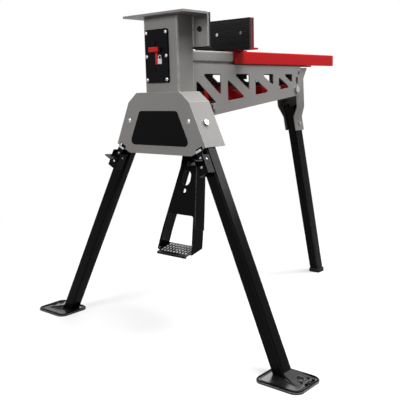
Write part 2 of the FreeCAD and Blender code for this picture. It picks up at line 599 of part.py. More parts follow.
def clamp_lock():
    face = d.column_front - d.lock_depth
    outside = lock_box("lock_outside", d.lock_width, d.lock_depth, d.lock_height, face, d.lock_bottom)
    soft = rounded("lock_soft", outside, d.lock_corner, along(Y_AXIS))
    inside = lock_box("lock_inside", d.lock_width / 2, d.lock_depth, d.lock_height - 4 * d.lock_wall,
                      face + d.lock_wall, d.lock_bottom + 2 * d.lock_wall)
    slot = lock_box("lock_slot", d.lock_slot_width, d.lock_depth + d.overrun, d.lock_slot_height, face - d.overrun,
                    d.lock_slot_bottom)
    spots = [(sign * d.lock_screw_x - d.lock_aside, d.lock_bottom + d.lock_height / 2 + row * d.lock_screw_z)
             for sign in SIDES.values() for row in (-1, 0, 1)]
    holes = [rod(f"lock_hole_{n}", d.lock_screw_radius + d.pin_gap, d.lock_depth + 2 * d.overrun, x, face - d.overrun,
                 z, Y_AXIS) for n, (x, z) in enumerate(spots)]
    keep("lock_cover", cut("lock_cover_shell", soft, inside, slot, *holes))
    screws = []
    for number, (x, z) in enumerate(spots):
        head = rod(f"lock_head_{number}", d.lock_head_radius, d.lock_head_height, x, face - d.lock_head_height, z,
                   Y_AXIS)
        shank = rod(f"lock_shank_{number}", d.lock_screw_radius, d.lock_depth, x, face, z, Y_AXIS)
        screws.append(fuse(f"lock_screw_{number}", head, shank))
    keep("lock_cover_screws", group("lock_screws", screws))
    stem_width = d.lock_slot_width - 2 * d.slide_gap
    bar_y = face - d.lever_reach - d.lever_bar_depth
    bar = lock_box("lever_bar", d.lever_bar_width, d.lever_bar_depth, d.lever_bar_height, bar_y, d.lever_bar_bottom)
    bar_soft = rounded("lever_bar_soft", bar, d.lever_reach, along(X_AXIS))
    slide_y = face + d.lock_wall + d.slide_gap
    stem_z = d.lever_bar_bottom - d.lever_stem_height
    neck = lock_box("lever_neck", stem_width, face - bar_y - d.lever_bar_depth / 2, d.lever_bar_height,
                    bar_y + d.lever_bar_depth / 2, d.lever_bar_bottom)
    stem = lock_box("lever_stem", stem_width, slide_y - face, d.lever_stem_height + d.lever_bar_height, face, stem_z)
    keep("lock_lever", fuse("lever", bar_soft, neck, stem))
    plate = lock_box("slide_plate", d.slide_width, d.slide_steel, d.slide_height, slide_y, stem_z)
    tail = lock_box("slide_tail", stem_width, d.column_front + 2 * d.column_wall - slide_y, d.lever_bar_height,
                    slide_y, d.lever_bar_bottom)
    keep("lock_slide", fuse("lock_strip", plate, tail))


def carriage():
    gap = d.slide_gap
    inner_half = d.rail_width / 2 + gap
    outer_half = inner_half + d.sleeve_side
    roof = rail_top + gap
    sleeve_top = roof + d.sleeve_wall
    lip_top = d.rail_bottom - gap
    low = lip_top - d.sleeve_lip
    outside = middle_box("sleeve_outside", 2 * outer_half, d.sleeve_length, sleeve_top - low, d.sleeve_front, low)
    soft = rounded("sleeve_soft", outside, d.sleeve_corner, lambda e: along(Y_AXIS)(e) and e.CenterOfMass.z > roof)
    through = d.sleeve_length + 2 * d.overrun
    tunnel = middle_box("sleeve_tunnel", 2 * inner_half, through, roof - lip_top, d.sleeve_front - d.overrun, lip_top)
    mouth = middle_box("sleeve_mouth", 2 * (inner_half - d.lip_reach), through, d.sleeve_lip + d.overrun,
                       d.sleeve_front - d.overrun, low - d.overrun)
    keep("slide_sleeve", cut("sleeve", soft, fuse("sleeve_hollow", tunnel, mouth)))
    base = middle_box("base_block", 2 * outer_half, d.base_length, d.base_steel, d.sleeve_front, sleeve_top)
    keep("jaw_base", base)
    plate_y = d.moving_pad_front + d.pad_thick
    plate_z = sleeve_top + d.base_steel
    plate_top = d.bench_height - d.pad_drop
    plate_back, flange_top = plate_y + d.moving_plate_steel, plate_z + d.moving_plate_steel
    flange_end = plate_y + d.jaw_flange
    plate = panel("moving_plate", "YZ", [[
        (plate_y, plate_z), (plate_y, plate_top), (plate_back, plate_top), (plate_back, flange_top),
        (flange_end, flange_top), (flange_end, plate_z),
    ]], d.pad_width, middle=True)
    spots = [d.moving_bolt_inner, d.moving_bolt_outer]
    stack = 2 * d.pad_thick + d.moving_plate_steel
    holes = [rod(f"moving_hole_{n}", d.jaw_bolt_radius + d.pin_gap, stack + 2 * d.overrun, x,
                 d.moving_pad_front - d.overrun, jaw_bolt_z, Y_AXIS) for n, x in enumerate(spots)]
    keep("moving_jaw_plate", cut("moving_plate_drilled", plate, *holes))
    for name, y, pad_z in (("front", d.moving_pad_front, plate_top - d.pad_height), ("rear", plate_back, flange_top)):
        pad = middle_box(f"moving_pad_{name}", d.pad_width, d.pad_thick, plate_top - pad_z, y, pad_z)
        keep(f"moving_jaw_pad_{name}", cut(f"moving_pad_drilled_{name}", pad, *holes))
    bolts = []
    for number, x in enumerate(spots):
        head = hexagon(f"moving_head_{number}", d.small_head_radius, d.jaw_head_height, x,
                       d.moving_pad_front - d.jaw_head_height, jaw_bolt_z, Y_AXIS)
        shank = rod(f"moving_shank_{number}", d.jaw_bolt_radius, stack, x, d.moving_pad_front, jaw_bolt_z, Y_AXIS)
        nut = hexagon(f"moving_nut_{number}", d.small_head_radius, d.jaw_head_height, x, d.moving_pad_front + stack,
                      jaw_bolt_z, Y_AXIS)
        bolts.append(fuse(f"moving_bolt_{number}", head, shank, nut))
    keep("moving_jaw_bolts", group("moving_bolts", bolts))
    carrier = middle_box("carrier_block", d.pawl_carrier_width, d.pawl_carrier_length, roof - d.pawl_carrier_bottom,
                         d.pawl_front, d.pawl_carrier_bottom)
    pin_y, pin_z = d.pawl_front + d.pawl_pin_back, d.pawl_carrier_bottom + d.pawl_pin_rise
    room = middle_box("carrier_room", d.pawl_width + 2 * gap, d.pawl_carrier_length + 2 * d.overrun,
                      d.pawl_pin_rise + d.pawl_boss_radius + d.overrun + gap, d.pawl_front - d.overrun,
                      d.pawl_carrier_bottom - d.overrun)
    pin_length = d.pawl_carrier_width
    hole = rod("carrier_hole", d.pawl_pin_radius + d.pin_gap, pin_length + 2 * d.overrun,
               -pin_length / 2 - d.overrun, pin_y, pin_z, X_AXIS)
    keep("pawl_carrier", cut("carrier", carrier, room, hole))
    keep("pawl_pin", rod("pawl_pin_bar", d.pawl_pin_radius, pin_length, -pin_length / 2, pin_y, pin_z, X_AXIS))
    tip_z = d.drive_top + d.rack_height + d.pawl_tip_gap
    arm = panel("pawl_arm", "YZ", [[
        (pin_y + d.pawl_pin_radius, pin_z - d.pawl_boss_radius), (pin_y - d.pawl_tip_run, tip_z),
        (pin_y - d.pawl_tip_run - d.pawl_pin_radius, tip_z + d.pawl_pin_radius), (pin_y, pin_z + d.pawl_boss_radius),
    ]], d.pawl_width, middle=True)
    boss = rod("pawl_boss", d.pawl_boss_radius, d.pawl_width, -d.pawl_width / 2, pin_y, pin_z, X_AXIS)
    keep("pawl", cut("pawl_bored", fuse("pawl_whole", arm, boss), hole))


def drive():
    length = d.drive_rear - d.drive_front
    outside = middle_box("drive_outside", 2 * d.drive_half, length, d.drive_height, d.drive_front,
                         d.drive_top - d.drive_height)
    inside = middle_box("drive_inside", 2 * (d.drive_half - d.drive_wall), length + 2 * d.overrun, d.drive_height,
                        d.drive_front - d.overrun, d.drive_top - d.drive_wall - d.drive_height)
    slots = []
    for name, y in (("front", d.front_rod_back), ("rear", d.rear_rod_back)):
        half = d.rod_radius + d.slide_gap
        slots.append(middle_box(f"drive_slot_{name}", 2 * d.drive_half + d.overrun, 2 * half + d.drive_travel,
                                2 * half, y - half, rod_z - half))
    keep("drive_channel", cut("drive_bent", outside, inside, *slots))
    top = d.drive_top + d.rack_height
    outline = [(d.rack_front, top), (d.teeth_front, top)]
    for tooth in range(int(round(float(sheet.get("rack_tooth_count"))))):
        start = d.teeth_front + tooth * d.rack_pitch
        outline += [(float(start), float(top - d.rack_tooth)), (float(start + d.rack_pitch), float(top))]
    eye_rear = d.rack_front + d.rack_eye_length
    outline += [(d.drive_rear, top), (d.drive_rear, d.drive_top), (eye_rear, d.drive_top),
                (eye_rear, top - d.rack_eye_depth), (d.rack_front, top - d.rack_eye_depth)]
    bar = panel("rack_bar", "YZ", [outline], d.rack_width, middle=True)
    play = d.crank_pin_radius + d.crank_pin_play
    pin_z = d.pedal_pivot_z + d.crank_length
    slot = middle_box("rack_slot", d.rack_width + d.overrun, 2 * play, 2 * play + d.crank_pin_lift,
                      d.pedal_pivot_back - play, pin_z - play - d.crank_pin_lift)
    keep("ratchet_rack", cut("rack_slotted", bar, slot))
    rods = [rod(f"guide_{n}", d.rod_radius, d.truss_width, -truss_half, y, rod_z, X_AXIS)
            for n, y in enumerate((d.front_rod_back, d.rear_rod_back))]
    keep("guide_rods", group("guide_rod_pair", rods))


def pedal_crank():
    y, z = d.pedal_pivot_back, d.pedal_pivot_z
    hub = rod("crank_hub", d.hub_radius, 2 * d.crank_half, -d.crank_half, y, z, X_AXIS)
    arms = []
    for side, sign in SIDES.items():
        x = d.crank_half - d.crank_steel if sign > 0 else -d.crank_half
        arms.append(box(f"crank_arm_{side}", d.crank_steel, d.crank_width, d.crank_length + d.crank_width / 2, x,
                        y - d.crank_width / 2, z))
    bore = rod("crank_bore", pin_bore, d.truss_width, -truss_half, y, z, X_AXIS)
    eye = rod("crank_eye", d.crank_pin_radius + d.pin_gap, d.truss_width, -truss_half, y, z + d.crank_length, X_AXIS)
    keep("pedal_crank", cut("crank_bored", fuse("crank", hub, *arms), bore, eye))
    keep("crank_pin", rod("crank_pin_bar", d.crank_pin_radius, 2 * d.crank_half, -d.crank_half, y, z + d.crank_length,
                          X_AXIS))
    length = d.truss_width + 2 * d.hex_height
    shank = rod("pedal_pin_shank", d.pivot_radius, length, -length / 2, y, z, X_AXIS)
    heads = [hexagon(f"pedal_pin_head_{side}", d.hex_radius, d.hex_height,
                     truss_half if sign > 0 else -truss_half - d.hex_height, y, z, X_AXIS)
             for side, sign in SIDES.items()]
    keep("pedal_pivot_pin", fuse("pedal_pin", shank, *heads))
    spacers = []
    thick = truss_inner - d.pedal_top_half - d.slide_gap
    for side, sign in SIDES.items():
        x = truss_inner - thick if sign > 0 else -truss_inner
        ring = rod(f"pedal_ring_{side}", d.spacer_radius, thick, x, y, z, X_AXIS)
        hole = rod(f"pedal_ring_hole_{side}", pin_bore, d.truss_width, -truss_half, y, z, X_AXIS)
        spacers.append(cut(f"pedal_spacer_{side}", ring, hole))
    keep("pedal_spacers", group("pedal_spacer_pair", spacers))


def pedal():
    frame = tilted(0, d.pedal_pivot_back, d.pedal_pivot_z, (X_AXIS, -d.pedal_lean))
    half = [(d.pedal_top_half, d.pedal_head), (d.pedal_top_half, -d.pedal_neck), (d.pedal_waist_half, -d.pedal_waist),
            (d.pedal_bottom_half, -d.pedal_bottom)]
    outside = panel("pedal_outside", "XZ", [mirrored(half)], d.pedal_flange, y=-d.pedal_face, frame=frame)
    above, below = d.pedal_head + d.overrun, d.pedal_bottom + d.overrun
    wall = d.pedal_steel
    splay = (d.pedal_bottom_half - d.pedal_waist_half) / (d.pedal_bottom - d.pedal_waist)
    inner = [(d.pedal_top_half - wall, above), inner_corner(half[0], half[1], half[2], wall),
             inner_corner(half[1], half[2], half[3], wall)]
    inner.append((inner[2][0] + splay * (below + inner[2][1]), -below))
    inside = panel("pedal_inside", "XZ", [mirrored(inner)], d.pedal_flange, y=wall - d.pedal_face, frame=frame)
    head = middle_box("pedal_head_gap", 2 * (d.pedal_top_half - wall), d.pedal_flange,
                      d.pedal_head + d.pedal_plate_top, -d.pedal_face - d.overrun, -d.pedal_plate_top, frame)
    bore = rod("pedal_bore", pin_bore, d.truss_width, -truss_half, 0, 0, X_AXIS, frame)
    through = wall + 2 * d.overrun
    face = -d.pedal_face - d.overrun
    holes = [rod(f"pedal_hole_{n}", d.pedal_hole_radius, through, 0, face, -z, Y_AXIS, frame)
             for n, z in enumerate((d.pedal_upper_drop, d.pedal_lower_drop))]
    straight = d.pedal_slot_length - d.pedal_slot_width
    holes.append(middle_box("pedal_slot_middle", d.pedal_slot_width, through, straight, face,
                            -d.pedal_slot_drop - straight / 2, frame))
    for name, sign in SIDES.items():
        holes.append(rod(f"pedal_slot_{name}", d.pedal_slot_width / 2, through, 0, face,
                         -d.pedal_slot_drop + sign * straight / 2, Y_AXIS, frame))
    widen = (d.pedal_waist_half - d.pedal_top_half) / (d.pedal_waist - d.pedal_neck)
    top_half = d.pedal_top_half + widen * (d.pedal_window_top - d.pedal_neck) - d.pedal_window_border
    corners = [(top_half, -d.pedal_window_top), (d.pedal_bottom_half - d.pedal_foot_border, -d.pedal_bottom),
               (d.pedal_bottom_half - d.pedal_foot_border, -below - d.pedal_window_corner)]
    window = panel("pedal_window", "XZ", [mirrored(corners)], through, y=face, frame=frame)
    soft_window = rounded("pedal_window_soft", window, d.pedal_window_corner, along(frame.Rotation.multVec(Y_AXIS)))
    # The tread closes the foot of the channel: its top runs from the flanges' rear corners down to the front lip.
    rise = (d.pedal_bottom - d.tread_rear) / d.pedal_flange
    front, rear = -d.pedal_face, d.pedal_flange - d.pedal_face
    tip, deep = d.pedal_bottom + rise * d.tread_out, d.pedal_bottom + rise * d.tread_out + d.overrun
    under = panel("pedal_under", "YZ", [[
        (front - d.tread_out, -tip), (rear + d.overrun, -d.tread_rear + rise * d.overrun), (rear + d.overrun, -deep),
        (front - d.tread_out, -deep),
    ]], 4 * d.pedal_bottom_half, frame=frame, middle=True)
    keep("pedal_arm", cut("pedal_folded", outside, inside, head, bore, soft_window, under, *holes))
    slant = math.hypot(1, rise)
    back, down = d.tread_steel * rise / slant, d.tread_steel / slant
    shelf = panel("tread_shelf", "YZ", [[
        (front, -d.pedal_bottom), (rear, -d.tread_rear), (rear + back, -d.tread_rear - down),
        (front + back, -d.pedal_bottom - down),
    ]], 2 * (d.pedal_waist_half + splay * (d.tread_rear - d.pedal_waist)), frame=frame, middle=True)
    lip_back, lip_down = d.tread_lip * rise / slant, d.tread_lip / slant
    nose = front - d.tread_out
    lip = panel("tread_nose", "YZ", [[
        (nose, -tip), (front, -d.pedal_bottom), (front + back, -d.pedal_bottom - down),
        (nose + down + back, -tip + back - down), (nose + down + lip_back, -tip + back - lip_down),
        (nose + lip_back, -tip - lip_down),
    ]], d.tread_width, frame=frame, middle=True)
    keep("pedal_tread", fuse("tread_folded", shelf, lip))


def front_leg(side, sign):
    frame = leg_frame(sign)
    lean = math.cos(math.radians(d.leg_splay)) * math.cos(math.radians(d.leg_lean))
    length = float(d.leg_pivot_z) / lean + float(d.leg_tube)
    half = d.leg_tube / 2
    outside = middle_box(f"leg_outside_{side}", d.leg_tube, d.leg_tube, length + float(d.leg_top), -half, -length,
                         frame)
    along_leg = along(frame.Rotation.multVec(Z_AXIS))
    soft = rounded(f"leg_soft_{side}", outside, d.leg_corner, along_leg)
    bore = d.leg_tube - 2 * d.leg_wall
    inside = middle_box(f"leg_inside_{side}", bore, bore, length + float(d.leg_top + 2 * d.overrun), -bore / 2,
                        -length - float(d.overrun), frame)
    hole = wall_rod(f"leg_hole_{side}", sign, d.leg_bolt_radius + d.pin_gap, -2 * d.leg_inset - d.leg_tube, d.overrun)
    foot_x = sign * (float(d.leg_pivot_x) + float(d.leg_pivot_z) * math.tan(math.radians(d.leg_splay)))
    foot_y = float(d.leg_pivot_back) - float(d.leg_pivot_z) / lean * math.sin(math.radians(d.leg_lean))
    ground = box(f"leg_ground_{side}", 4 * d.foot_length, 4 * d.foot_width, 4 * d.leg_tube,
                 foot_x - 2 * d.foot_length, foot_y - 2 * d.foot_width, d.foot_thick - 4 * d.leg_tube)
    keep(f"front_leg_{side}", cut(f"leg_cut_{side}", soft, inside, hole, ground))
    front = foot_y + float(d.foot_back - d.foot_width)
    start = foot_x - d.foot_inner if sign > 0 else foot_x + d.foot_inner - d.foot_length
    plate = box(f"foot_block_{side}", d.foot_length, d.foot_width, d.foot_thick, start, front, 0)
    sole = rounded(f"foot_soft_{side}", plate, d.foot_corner, along(Z_AXIS))
    drill = d.ramp_height + 2 * d.overrun
    holes = [rod(f"foot_hole_{side}", d.foot_hole_radius, drill, foot_x + sign * d.foot_hole_out, foot_y, -d.overrun),
             rod(f"foot_screw_{side}", d.foot_screw_radius, drill, foot_x + sign * d.foot_screw_out, foot_y,
                 -d.overrun)]
    outward = d.leg_tube / 2 / math.cos(math.radians(d.leg_splay))
    climb = math.tan(math.radians(d.leg_splay))
    top, sill, run = d.ramp_height, d.foot_thick, d.ramp_length
    leg_low, leg_high = outward - sill * climb + d.slide_gap, outward - top * climb + d.slide_gap
    wedge = panel(f"foot_wedge_{side}", "XZ", [[
        (sign * leg_low, sill), (sign * leg_high, top), (sign * run, sill),
    ]], d.foot_width, x=foot_x, y=front)
    spread = panel(f"foot_spread_{side}", "XY", [[
        (sign * leg_high, -half), (sign * run, -d.ramp_front), (sign * run, d.ramp_back), (sign * leg_high, half),
    ]], top, x=foot_x, y=foot_y)
    ramp = common(f"foot_ramp_{side}", wedge, spread)
    keep(f"foot_plate_{side}", cut(f"foot_{side}", fuse(f"foot_whole_{side}", sole, ramp), *holes))
    latch(side, frame)


def latch(side, frame):
    face = -d.leg_tube / 2
    wall, width = d.latch_steel, d.latch_width
    height = d.latch_bottom - d.latch_top
    back = middle_box(f"latch_back_{side}", width, wall, height, face - wall, -d.latch_bottom, frame)
    cheeks = [box(f"latch_cheek_{side}_{n}", wall, d.latch_depth, height, x, face - d.latch_depth, -d.latch_bottom,
                  frame) for n, x in enumerate((-width / 2, width / 2 - wall))]
    cover = middle_box(f"latch_cover_{side}", width, wall, d.latch_bottom - d.latch_cover_top, face - d.latch_depth,
                       -d.latch_bottom, frame)
    pin_y = face - d.latch_pin_out
    hole = rod(f"latch_hole_{side}", d.latch_pin_radius + d.pin_gap, 2 * width, -width, pin_y, -d.latch_pin_down,
               X_AXIS, frame)
    keep(f"latch_housing_{side}", cut(f"latch_drilled_{side}", fuse(f"latch_box_{side}", back, cover, *cheeks), hole))
    keep(f"latch_pin_{side}", rod(f"latch_pin_bar_{side}", d.latch_pin_radius, width, -width / 2, pin_y,
                                  -d.latch_pin_down, X_AXIS, frame))
    tab_width = width - 2 * wall - 4 * d.slide_gap
    boss = rod(f"lever_boss_{side}", d.latch_boss_radius, tab_width, -tab_width / 2, pin_y, -d.latch_pin_down, X_AXIS,
               frame)
    tongue = middle_box(f"lever_tongue_{side}", d.tongue_width, d.tongue_steel, d.latch_pin_down - d.tongue_top,
                        pin_y - d.tongue_steel, -d.latch_pin_down, frame)
    tab = middle_box(f"lever_tab_{side}", tab_width, d.tab_length, d.tongue_steel, pin_y - d.tab_length,
                     -d.latch_pin_down - d.latch_boss_radius, frame)
    keep(f"latch_lever_{side}", cut(f"latch_bored_{side}", fuse(f"latch_arm_{side}", boss, tongue, tab), hole))


def rear_leg():
    y0, z0 = d.rear_pivot_back, d.rear_pivot_z
    top, bottom = d.rear_bracket_top, d.rear_bracket_bottom
    lean = math.tan(math.radians(d.rear_lean))

    def axis_y(z):
        return d.rear_pivot_back + d.rear_axis_back + lean * (d.rear_axis_z - z)

    def silhouette(name, wall, reach):
        lower = (d.rear_lower_half + d.rear_side_play) / math.cos(math.radians(d.rear_lean)) - wall
        points = [(y0 - reach, top + wall), (y0 + d.rear_hook - wall, top + wall),
                  (y0 + d.rear_waist - wall, d.rear_waist_height), (y0 + d.rear_back - wall, d.rear_taper_top),
                  (axis_y(d.rear_taper_bottom) + lower, d.rear_taper_bottom),
                  (axis_y(bottom) + lower, bottom - wall), (axis_y(bottom) - d.rear_lower_half - reach, bottom - wall),
                  (axis_y(d.rear_taper_bottom) - d.rear_lower_half - reach, d.rear_taper_bottom)]
        return panel(name, "YZ", [points], d.truss_width, middle=True)

    def profile(name, wall):
        upper, lower = d.rear_upper_half - wall, d.rear_lower_half - wall
        half = [(upper, top + wall), (upper, d.rear_taper_top), (lower, d.rear_taper_bottom), (lower, bottom - wall)]
        return panel(name, "XZ", [mirrored(half)], 4 * d.truss_width, y=y0 - 2 * d.truss_width)

    outside = common("rear_outside", silhouette("rear_side", 0, d.rear_front), profile("rear_face", 0))
    inside = common("rear_inside", silhouette("rear_side_in", d.steel, d.rear_front + d.truss_width),
                    profile("rear_face_in", d.steel))
    bore = rod("rear_bore", pin_bore, d.truss_width, -truss_half, y0, z0, X_AXIS)
    bolt_z = z0 - d.rear_bolt_drop
    hole = rod("rear_bolt_hole", d.rear_bolt_radius + d.pin_gap, d.truss_width, -truss_half, axis_y(bolt_z), bolt_z,
               X_AXIS)
    keep("rear_bracket", cut("rear_bent", outside, inside, bore, hole, *end_holes("rear_end_hole")))
    frame = tilted(0, axis_y(0), 0, (X_AXIS, d.rear_lean))
    length = d.rear_tube_top / math.cos(math.radians(d.rear_lean))
    half = d.leg_tube / 2
    tube = middle_box("rear_tube_outside", d.leg_tube, d.leg_tube, length, -half, 0, frame)
    soft = rounded("rear_tube_soft", tube, d.leg_corner, along(frame.Rotation.multVec(Z_AXIS)))
    hollow = d.leg_tube - 2 * d.leg_wall
    inner = middle_box("rear_tube_inside", hollow, hollow, length + 2 * d.overrun, -hollow / 2, -d.overrun, frame)
    ground = middle_box("rear_ground", 4 * d.leg_tube, 4 * d.leg_tube, 2 * d.cap_height, axis_y(0) - 2 * d.leg_tube,
                        -d.cap_height)
    notch = middle_box("rear_tube_notch", 2 * d.leg_tube, 2 * d.leg_tube, d.rear_tube_drop + d.leg_tube,
                       y0 + d.rear_waist - d.steel - d.slide_gap, d.rear_taper_bottom)
    keep("rear_leg_tube", cut("rear_tube", soft, inner, ground, hole, notch))
    cap_y = axis_y(d.cap_height / 2) - d.cap_width / 2
    cap = middle_box("cap_block", d.cap_width, d.cap_width, d.cap_height, cap_y, 0)
    keep("rear_foot_cap", rounded("cap_soft", cap, d.cap_corner, along(Z_AXIS)))
    span = 2 * d.rear_lower_half
    shank = rod("rear_bolt_shank", d.rear_bolt_radius, span, -d.rear_lower_half, axis_y(bolt_z), bolt_z, X_AXIS)
    heads = [hexagon(f"rear_bolt_head_{side}", d.small_head_radius, d.jaw_head_height,
                     d.rear_lower_half if sign > 0 else -d.rear_lower_half - d.jaw_head_height, axis_y(bolt_z), bolt_z,
                     X_AXIS) for side, sign in SIDES.items()]
    keep("rear_leg_bolt", fuse("rear_bolt", shank, *heads))
    span = d.truss_width + 2 * d.hex_height
    shank = rod("rear_pivot_shank", d.pivot_radius, span, -span / 2, y0, z0, X_AXIS)
    heads = [hexagon(f"rear_pivot_head_{side}", d.hex_radius, d.hex_height,
                     truss_half if sign > 0 else -truss_half - d.hex_height, y0, z0, X_AXIS)
             for side, sign in SIDES.items()]
    keep("rear_pivot_bolt", fuse("rear_pivot", shank, *heads))
    rings = []
    thick = truss_inner - d.rear_upper_half - d.rear_side_play
    for side, sign in SIDES.items():
        x = truss_inner - thick if sign > 0 else -truss_inner
        ring = rod(f"rear_ring_{side}", d.spacer_radius, thick, x, y0, z0, X_AXIS)
        ring_bore = rod(f"rear_ring_hole_{side}", pin_bore, d.truss_width, -truss_half, y0, z0, X_AXIS)
        rings.append(cut(f"rear_spacer_{side}", ring, ring_bore))
    keep("rear_spacers", group("rear_spacer_pair", rings))


front_column()
fixed_jaw()
side_plates()
rail_and_neck()
leg_bracket()
bracket_trim()
leg_pivots()
clamp_lock()
carriage()
drive()
pedal_crank()
pedal()
for side, sign in SIDES.items():
    front_leg(side, sign)
rear_leg()
doc.recompute()

# The origin goes to the middle of the depth between the front feet and the rear foot.
boxes = [thing.Shape.BoundBox for thing in parts.values()]
middle_y = (min(b.YMin for b in boxes) + max(b.YMax for b in boxes)) / 2
for thing in parts.values():
    thing.Placement = Placement(Vector(0, -middle_y, 0), Rotation()).multiply(thing.Placement)
doc.recompute()

broken = [thing.Name for thing in doc.Objects if {"Invalid", "Error"} & set(thing.State)]
broken += [label for label, thing in parts.items() if thing.Shape.isNull() or not thing.Shape.isValid()]
if broken:
    raise RuntimeError(f"these pieces failed: {broken}")
os.makedirs("parts", exist_ok=True)
for label, thing in parts.items():
    thing.Shape.exportStep(f"parts/{label}.step")
print(f"{len(parts)} sub-parts, middle of the depth at {middle_y:.3f}")
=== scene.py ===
import json
import math

import bmesh
import bpy
from mathutils import Matrix, Vector

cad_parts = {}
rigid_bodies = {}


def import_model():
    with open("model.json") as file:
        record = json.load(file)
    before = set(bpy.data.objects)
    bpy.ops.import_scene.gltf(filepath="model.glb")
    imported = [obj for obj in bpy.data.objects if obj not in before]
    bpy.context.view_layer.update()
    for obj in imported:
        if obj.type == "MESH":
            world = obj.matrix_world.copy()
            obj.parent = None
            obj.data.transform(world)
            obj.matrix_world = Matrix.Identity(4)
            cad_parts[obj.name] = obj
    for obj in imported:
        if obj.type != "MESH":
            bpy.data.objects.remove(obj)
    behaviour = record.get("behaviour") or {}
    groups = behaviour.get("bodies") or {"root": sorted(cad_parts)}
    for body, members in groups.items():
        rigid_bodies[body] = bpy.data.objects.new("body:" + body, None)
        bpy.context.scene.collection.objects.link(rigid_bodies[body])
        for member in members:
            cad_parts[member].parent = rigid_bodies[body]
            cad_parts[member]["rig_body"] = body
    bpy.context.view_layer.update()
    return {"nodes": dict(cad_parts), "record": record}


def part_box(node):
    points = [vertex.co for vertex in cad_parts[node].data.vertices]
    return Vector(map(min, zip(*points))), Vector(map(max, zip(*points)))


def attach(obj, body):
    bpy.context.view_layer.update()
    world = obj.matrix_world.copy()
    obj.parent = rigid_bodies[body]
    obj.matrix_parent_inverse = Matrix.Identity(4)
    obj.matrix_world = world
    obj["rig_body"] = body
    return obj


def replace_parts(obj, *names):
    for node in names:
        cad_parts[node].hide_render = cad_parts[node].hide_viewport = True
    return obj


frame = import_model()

# Front column. A rectangular steel tube that stands upright in the leg bracket and carries the fixed jaw.
# It is powder coated in a warm satin grey, with a paler colour along its edges and corners as a painted
# highlight.


def feed(socket, value):
    """Sets a node's input, or links it when the value is another node's output."""
    if isinstance(value, bpy.types.NodeSocket):
        socket.id_data.links.new(value, socket)
    else:
        socket.default_value = value


def add_node(tree, kind, values=None, **settings):
    """One node of a tree with its settings and its inputs."""
    node = tree.nodes.new(kind)
    for name, setting in settings.items():
        setattr(node, name, setting)
    for name, value in (values or {}).items():
        feed(node.inputs[name], value)
    return node


rough_sway = 0.06


def powder_coat(name, pale, deep, rough, edge=None, grain=900.0, peel=0.12, gloss=0.25, metallic=0.0,
                patch=9.0):
    """A sprayed finish: slow patches of tone, fine orange peel, wandering roughness, painted highlight on
    edges.
    """
    finish = bpy.data.materials.new(name)
    finish.use_nodes = True
    tree = finish.node_tree
    place = add_node(tree, "ShaderNodeTexCoord").outputs["Object"]
    patches = add_node(tree, "ShaderNodeTexNoise", {
        "Vector": place, "Scale": patch, "Detail": 6.0, "Roughness": 0.6}).outputs["Fac"]
    skin = add_node(tree, "ShaderNodeTexNoise", {
        "Vector": place, "Scale": grain, "Detail": 2.0, "Roughness": 0.5}).outputs["Fac"]
    colour = add_node(tree, "ShaderNodeMix", {
        "Factor": patches, "A": (*deep, 1.0), "B": (*pale, 1.0)}, data_type="RGBA").outputs["Result"]
    # The edge colour is a painted highlight: faces marked in the edge_highlight attribute are mixed towards
    # it, broken up by noise.
    if edge:
        edge_highlight = add_node(tree, "ShaderNodeAttribute", attribute_name="edge_highlight").outputs["Fac"]
        edge_highlight_noise = add_node(tree, "ShaderNodeTexNoise", {"Vector": place, "Scale": 60.0, "Detail": 4.0})
        share = add_node(tree, "ShaderNodeMapRange", {
            "Value": edge_highlight_noise.outputs["Fac"], "From Min": 0.35, "From Max": 0.65, "To Min": 0.35,
            "To Max": 0.95})
        edge_highlight_amount = add_node(tree, "ShaderNodeMath", {
            0: edge_highlight, 1: share.outputs["Result"]}, operation="MULTIPLY").outputs["Value"]
        colour = add_node(tree, "ShaderNodeMix", {
            "Factor": edge_highlight_amount, "A": colour, "B": (*edge, 1.0)}, data_type="RGBA").outputs["Result"]
    sheen = add_node(tree, "ShaderNodeMapRange", {
        "Value": patches, "From Min": 0.3, "From Max": 0.7, "To Min": rough - rough_sway,
        "To Max": rough + rough_sway}).outputs["Result"]
    bump = add_node(tree, "ShaderNodeBump", {
        "Height": skin, "Strength": peel, "Distance": 0.0004}).outputs["Normal"]
    shader = tree.nodes["Principled BSDF"]
    for label, value in (("Base Color", colour), ("Roughness", sheen), ("Normal", bump),
                         ("Metallic", metallic), ("Specular IOR Level", gloss)):
        feed(shader.inputs[label], value)
    return finish


def put_in_scene(name, mesh, finish, body):
    """A finished mesh as a piece that moves with a body."""
    piece = bpy.data.objects.new(name, mesh)
    bpy.context.scene.collection.objects.link(piece)
    mesh.materials.clear()
    mesh.materials.append(finish)
    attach(piece, body)
    return piece


def settled(piece):
    """The plain mesh that an object's modifiers give."""
    bpy.context.view_layer.update()
    return bpy.data.meshes.new_from_object(piece.evaluated_get(bpy.context.evaluated_depsgraph_get()))


def smoothed(mesh, crease):
    """Smooth faces, apart from the edges that turn by more than the crease."""
    mesh.polygons.foreach_set("use_smooth", [True] * len(mesh.polygons))
    mesh.set_sharp_from_angle(angle=math.radians(crease))


# Long strips of rounded corners get a share of the painted edge highlight.
strip_width, strip_length, corner_highlight = 0.0024, 0.06, 0.3


def is_strip(mesh, face):
    """Whether a face is one of the long thin strips that make up a rounded corner."""
    corners = [mesh.vertices[index].co for index in face.vertices]
    longest = max((b - a).length for a, b in zip(corners, corners[1:] + corners[:1]))
    return len(corners) == 4 and longest > strip_length and face.area < longest * strip_width


sheet_crease, broken_angle = 35, 40


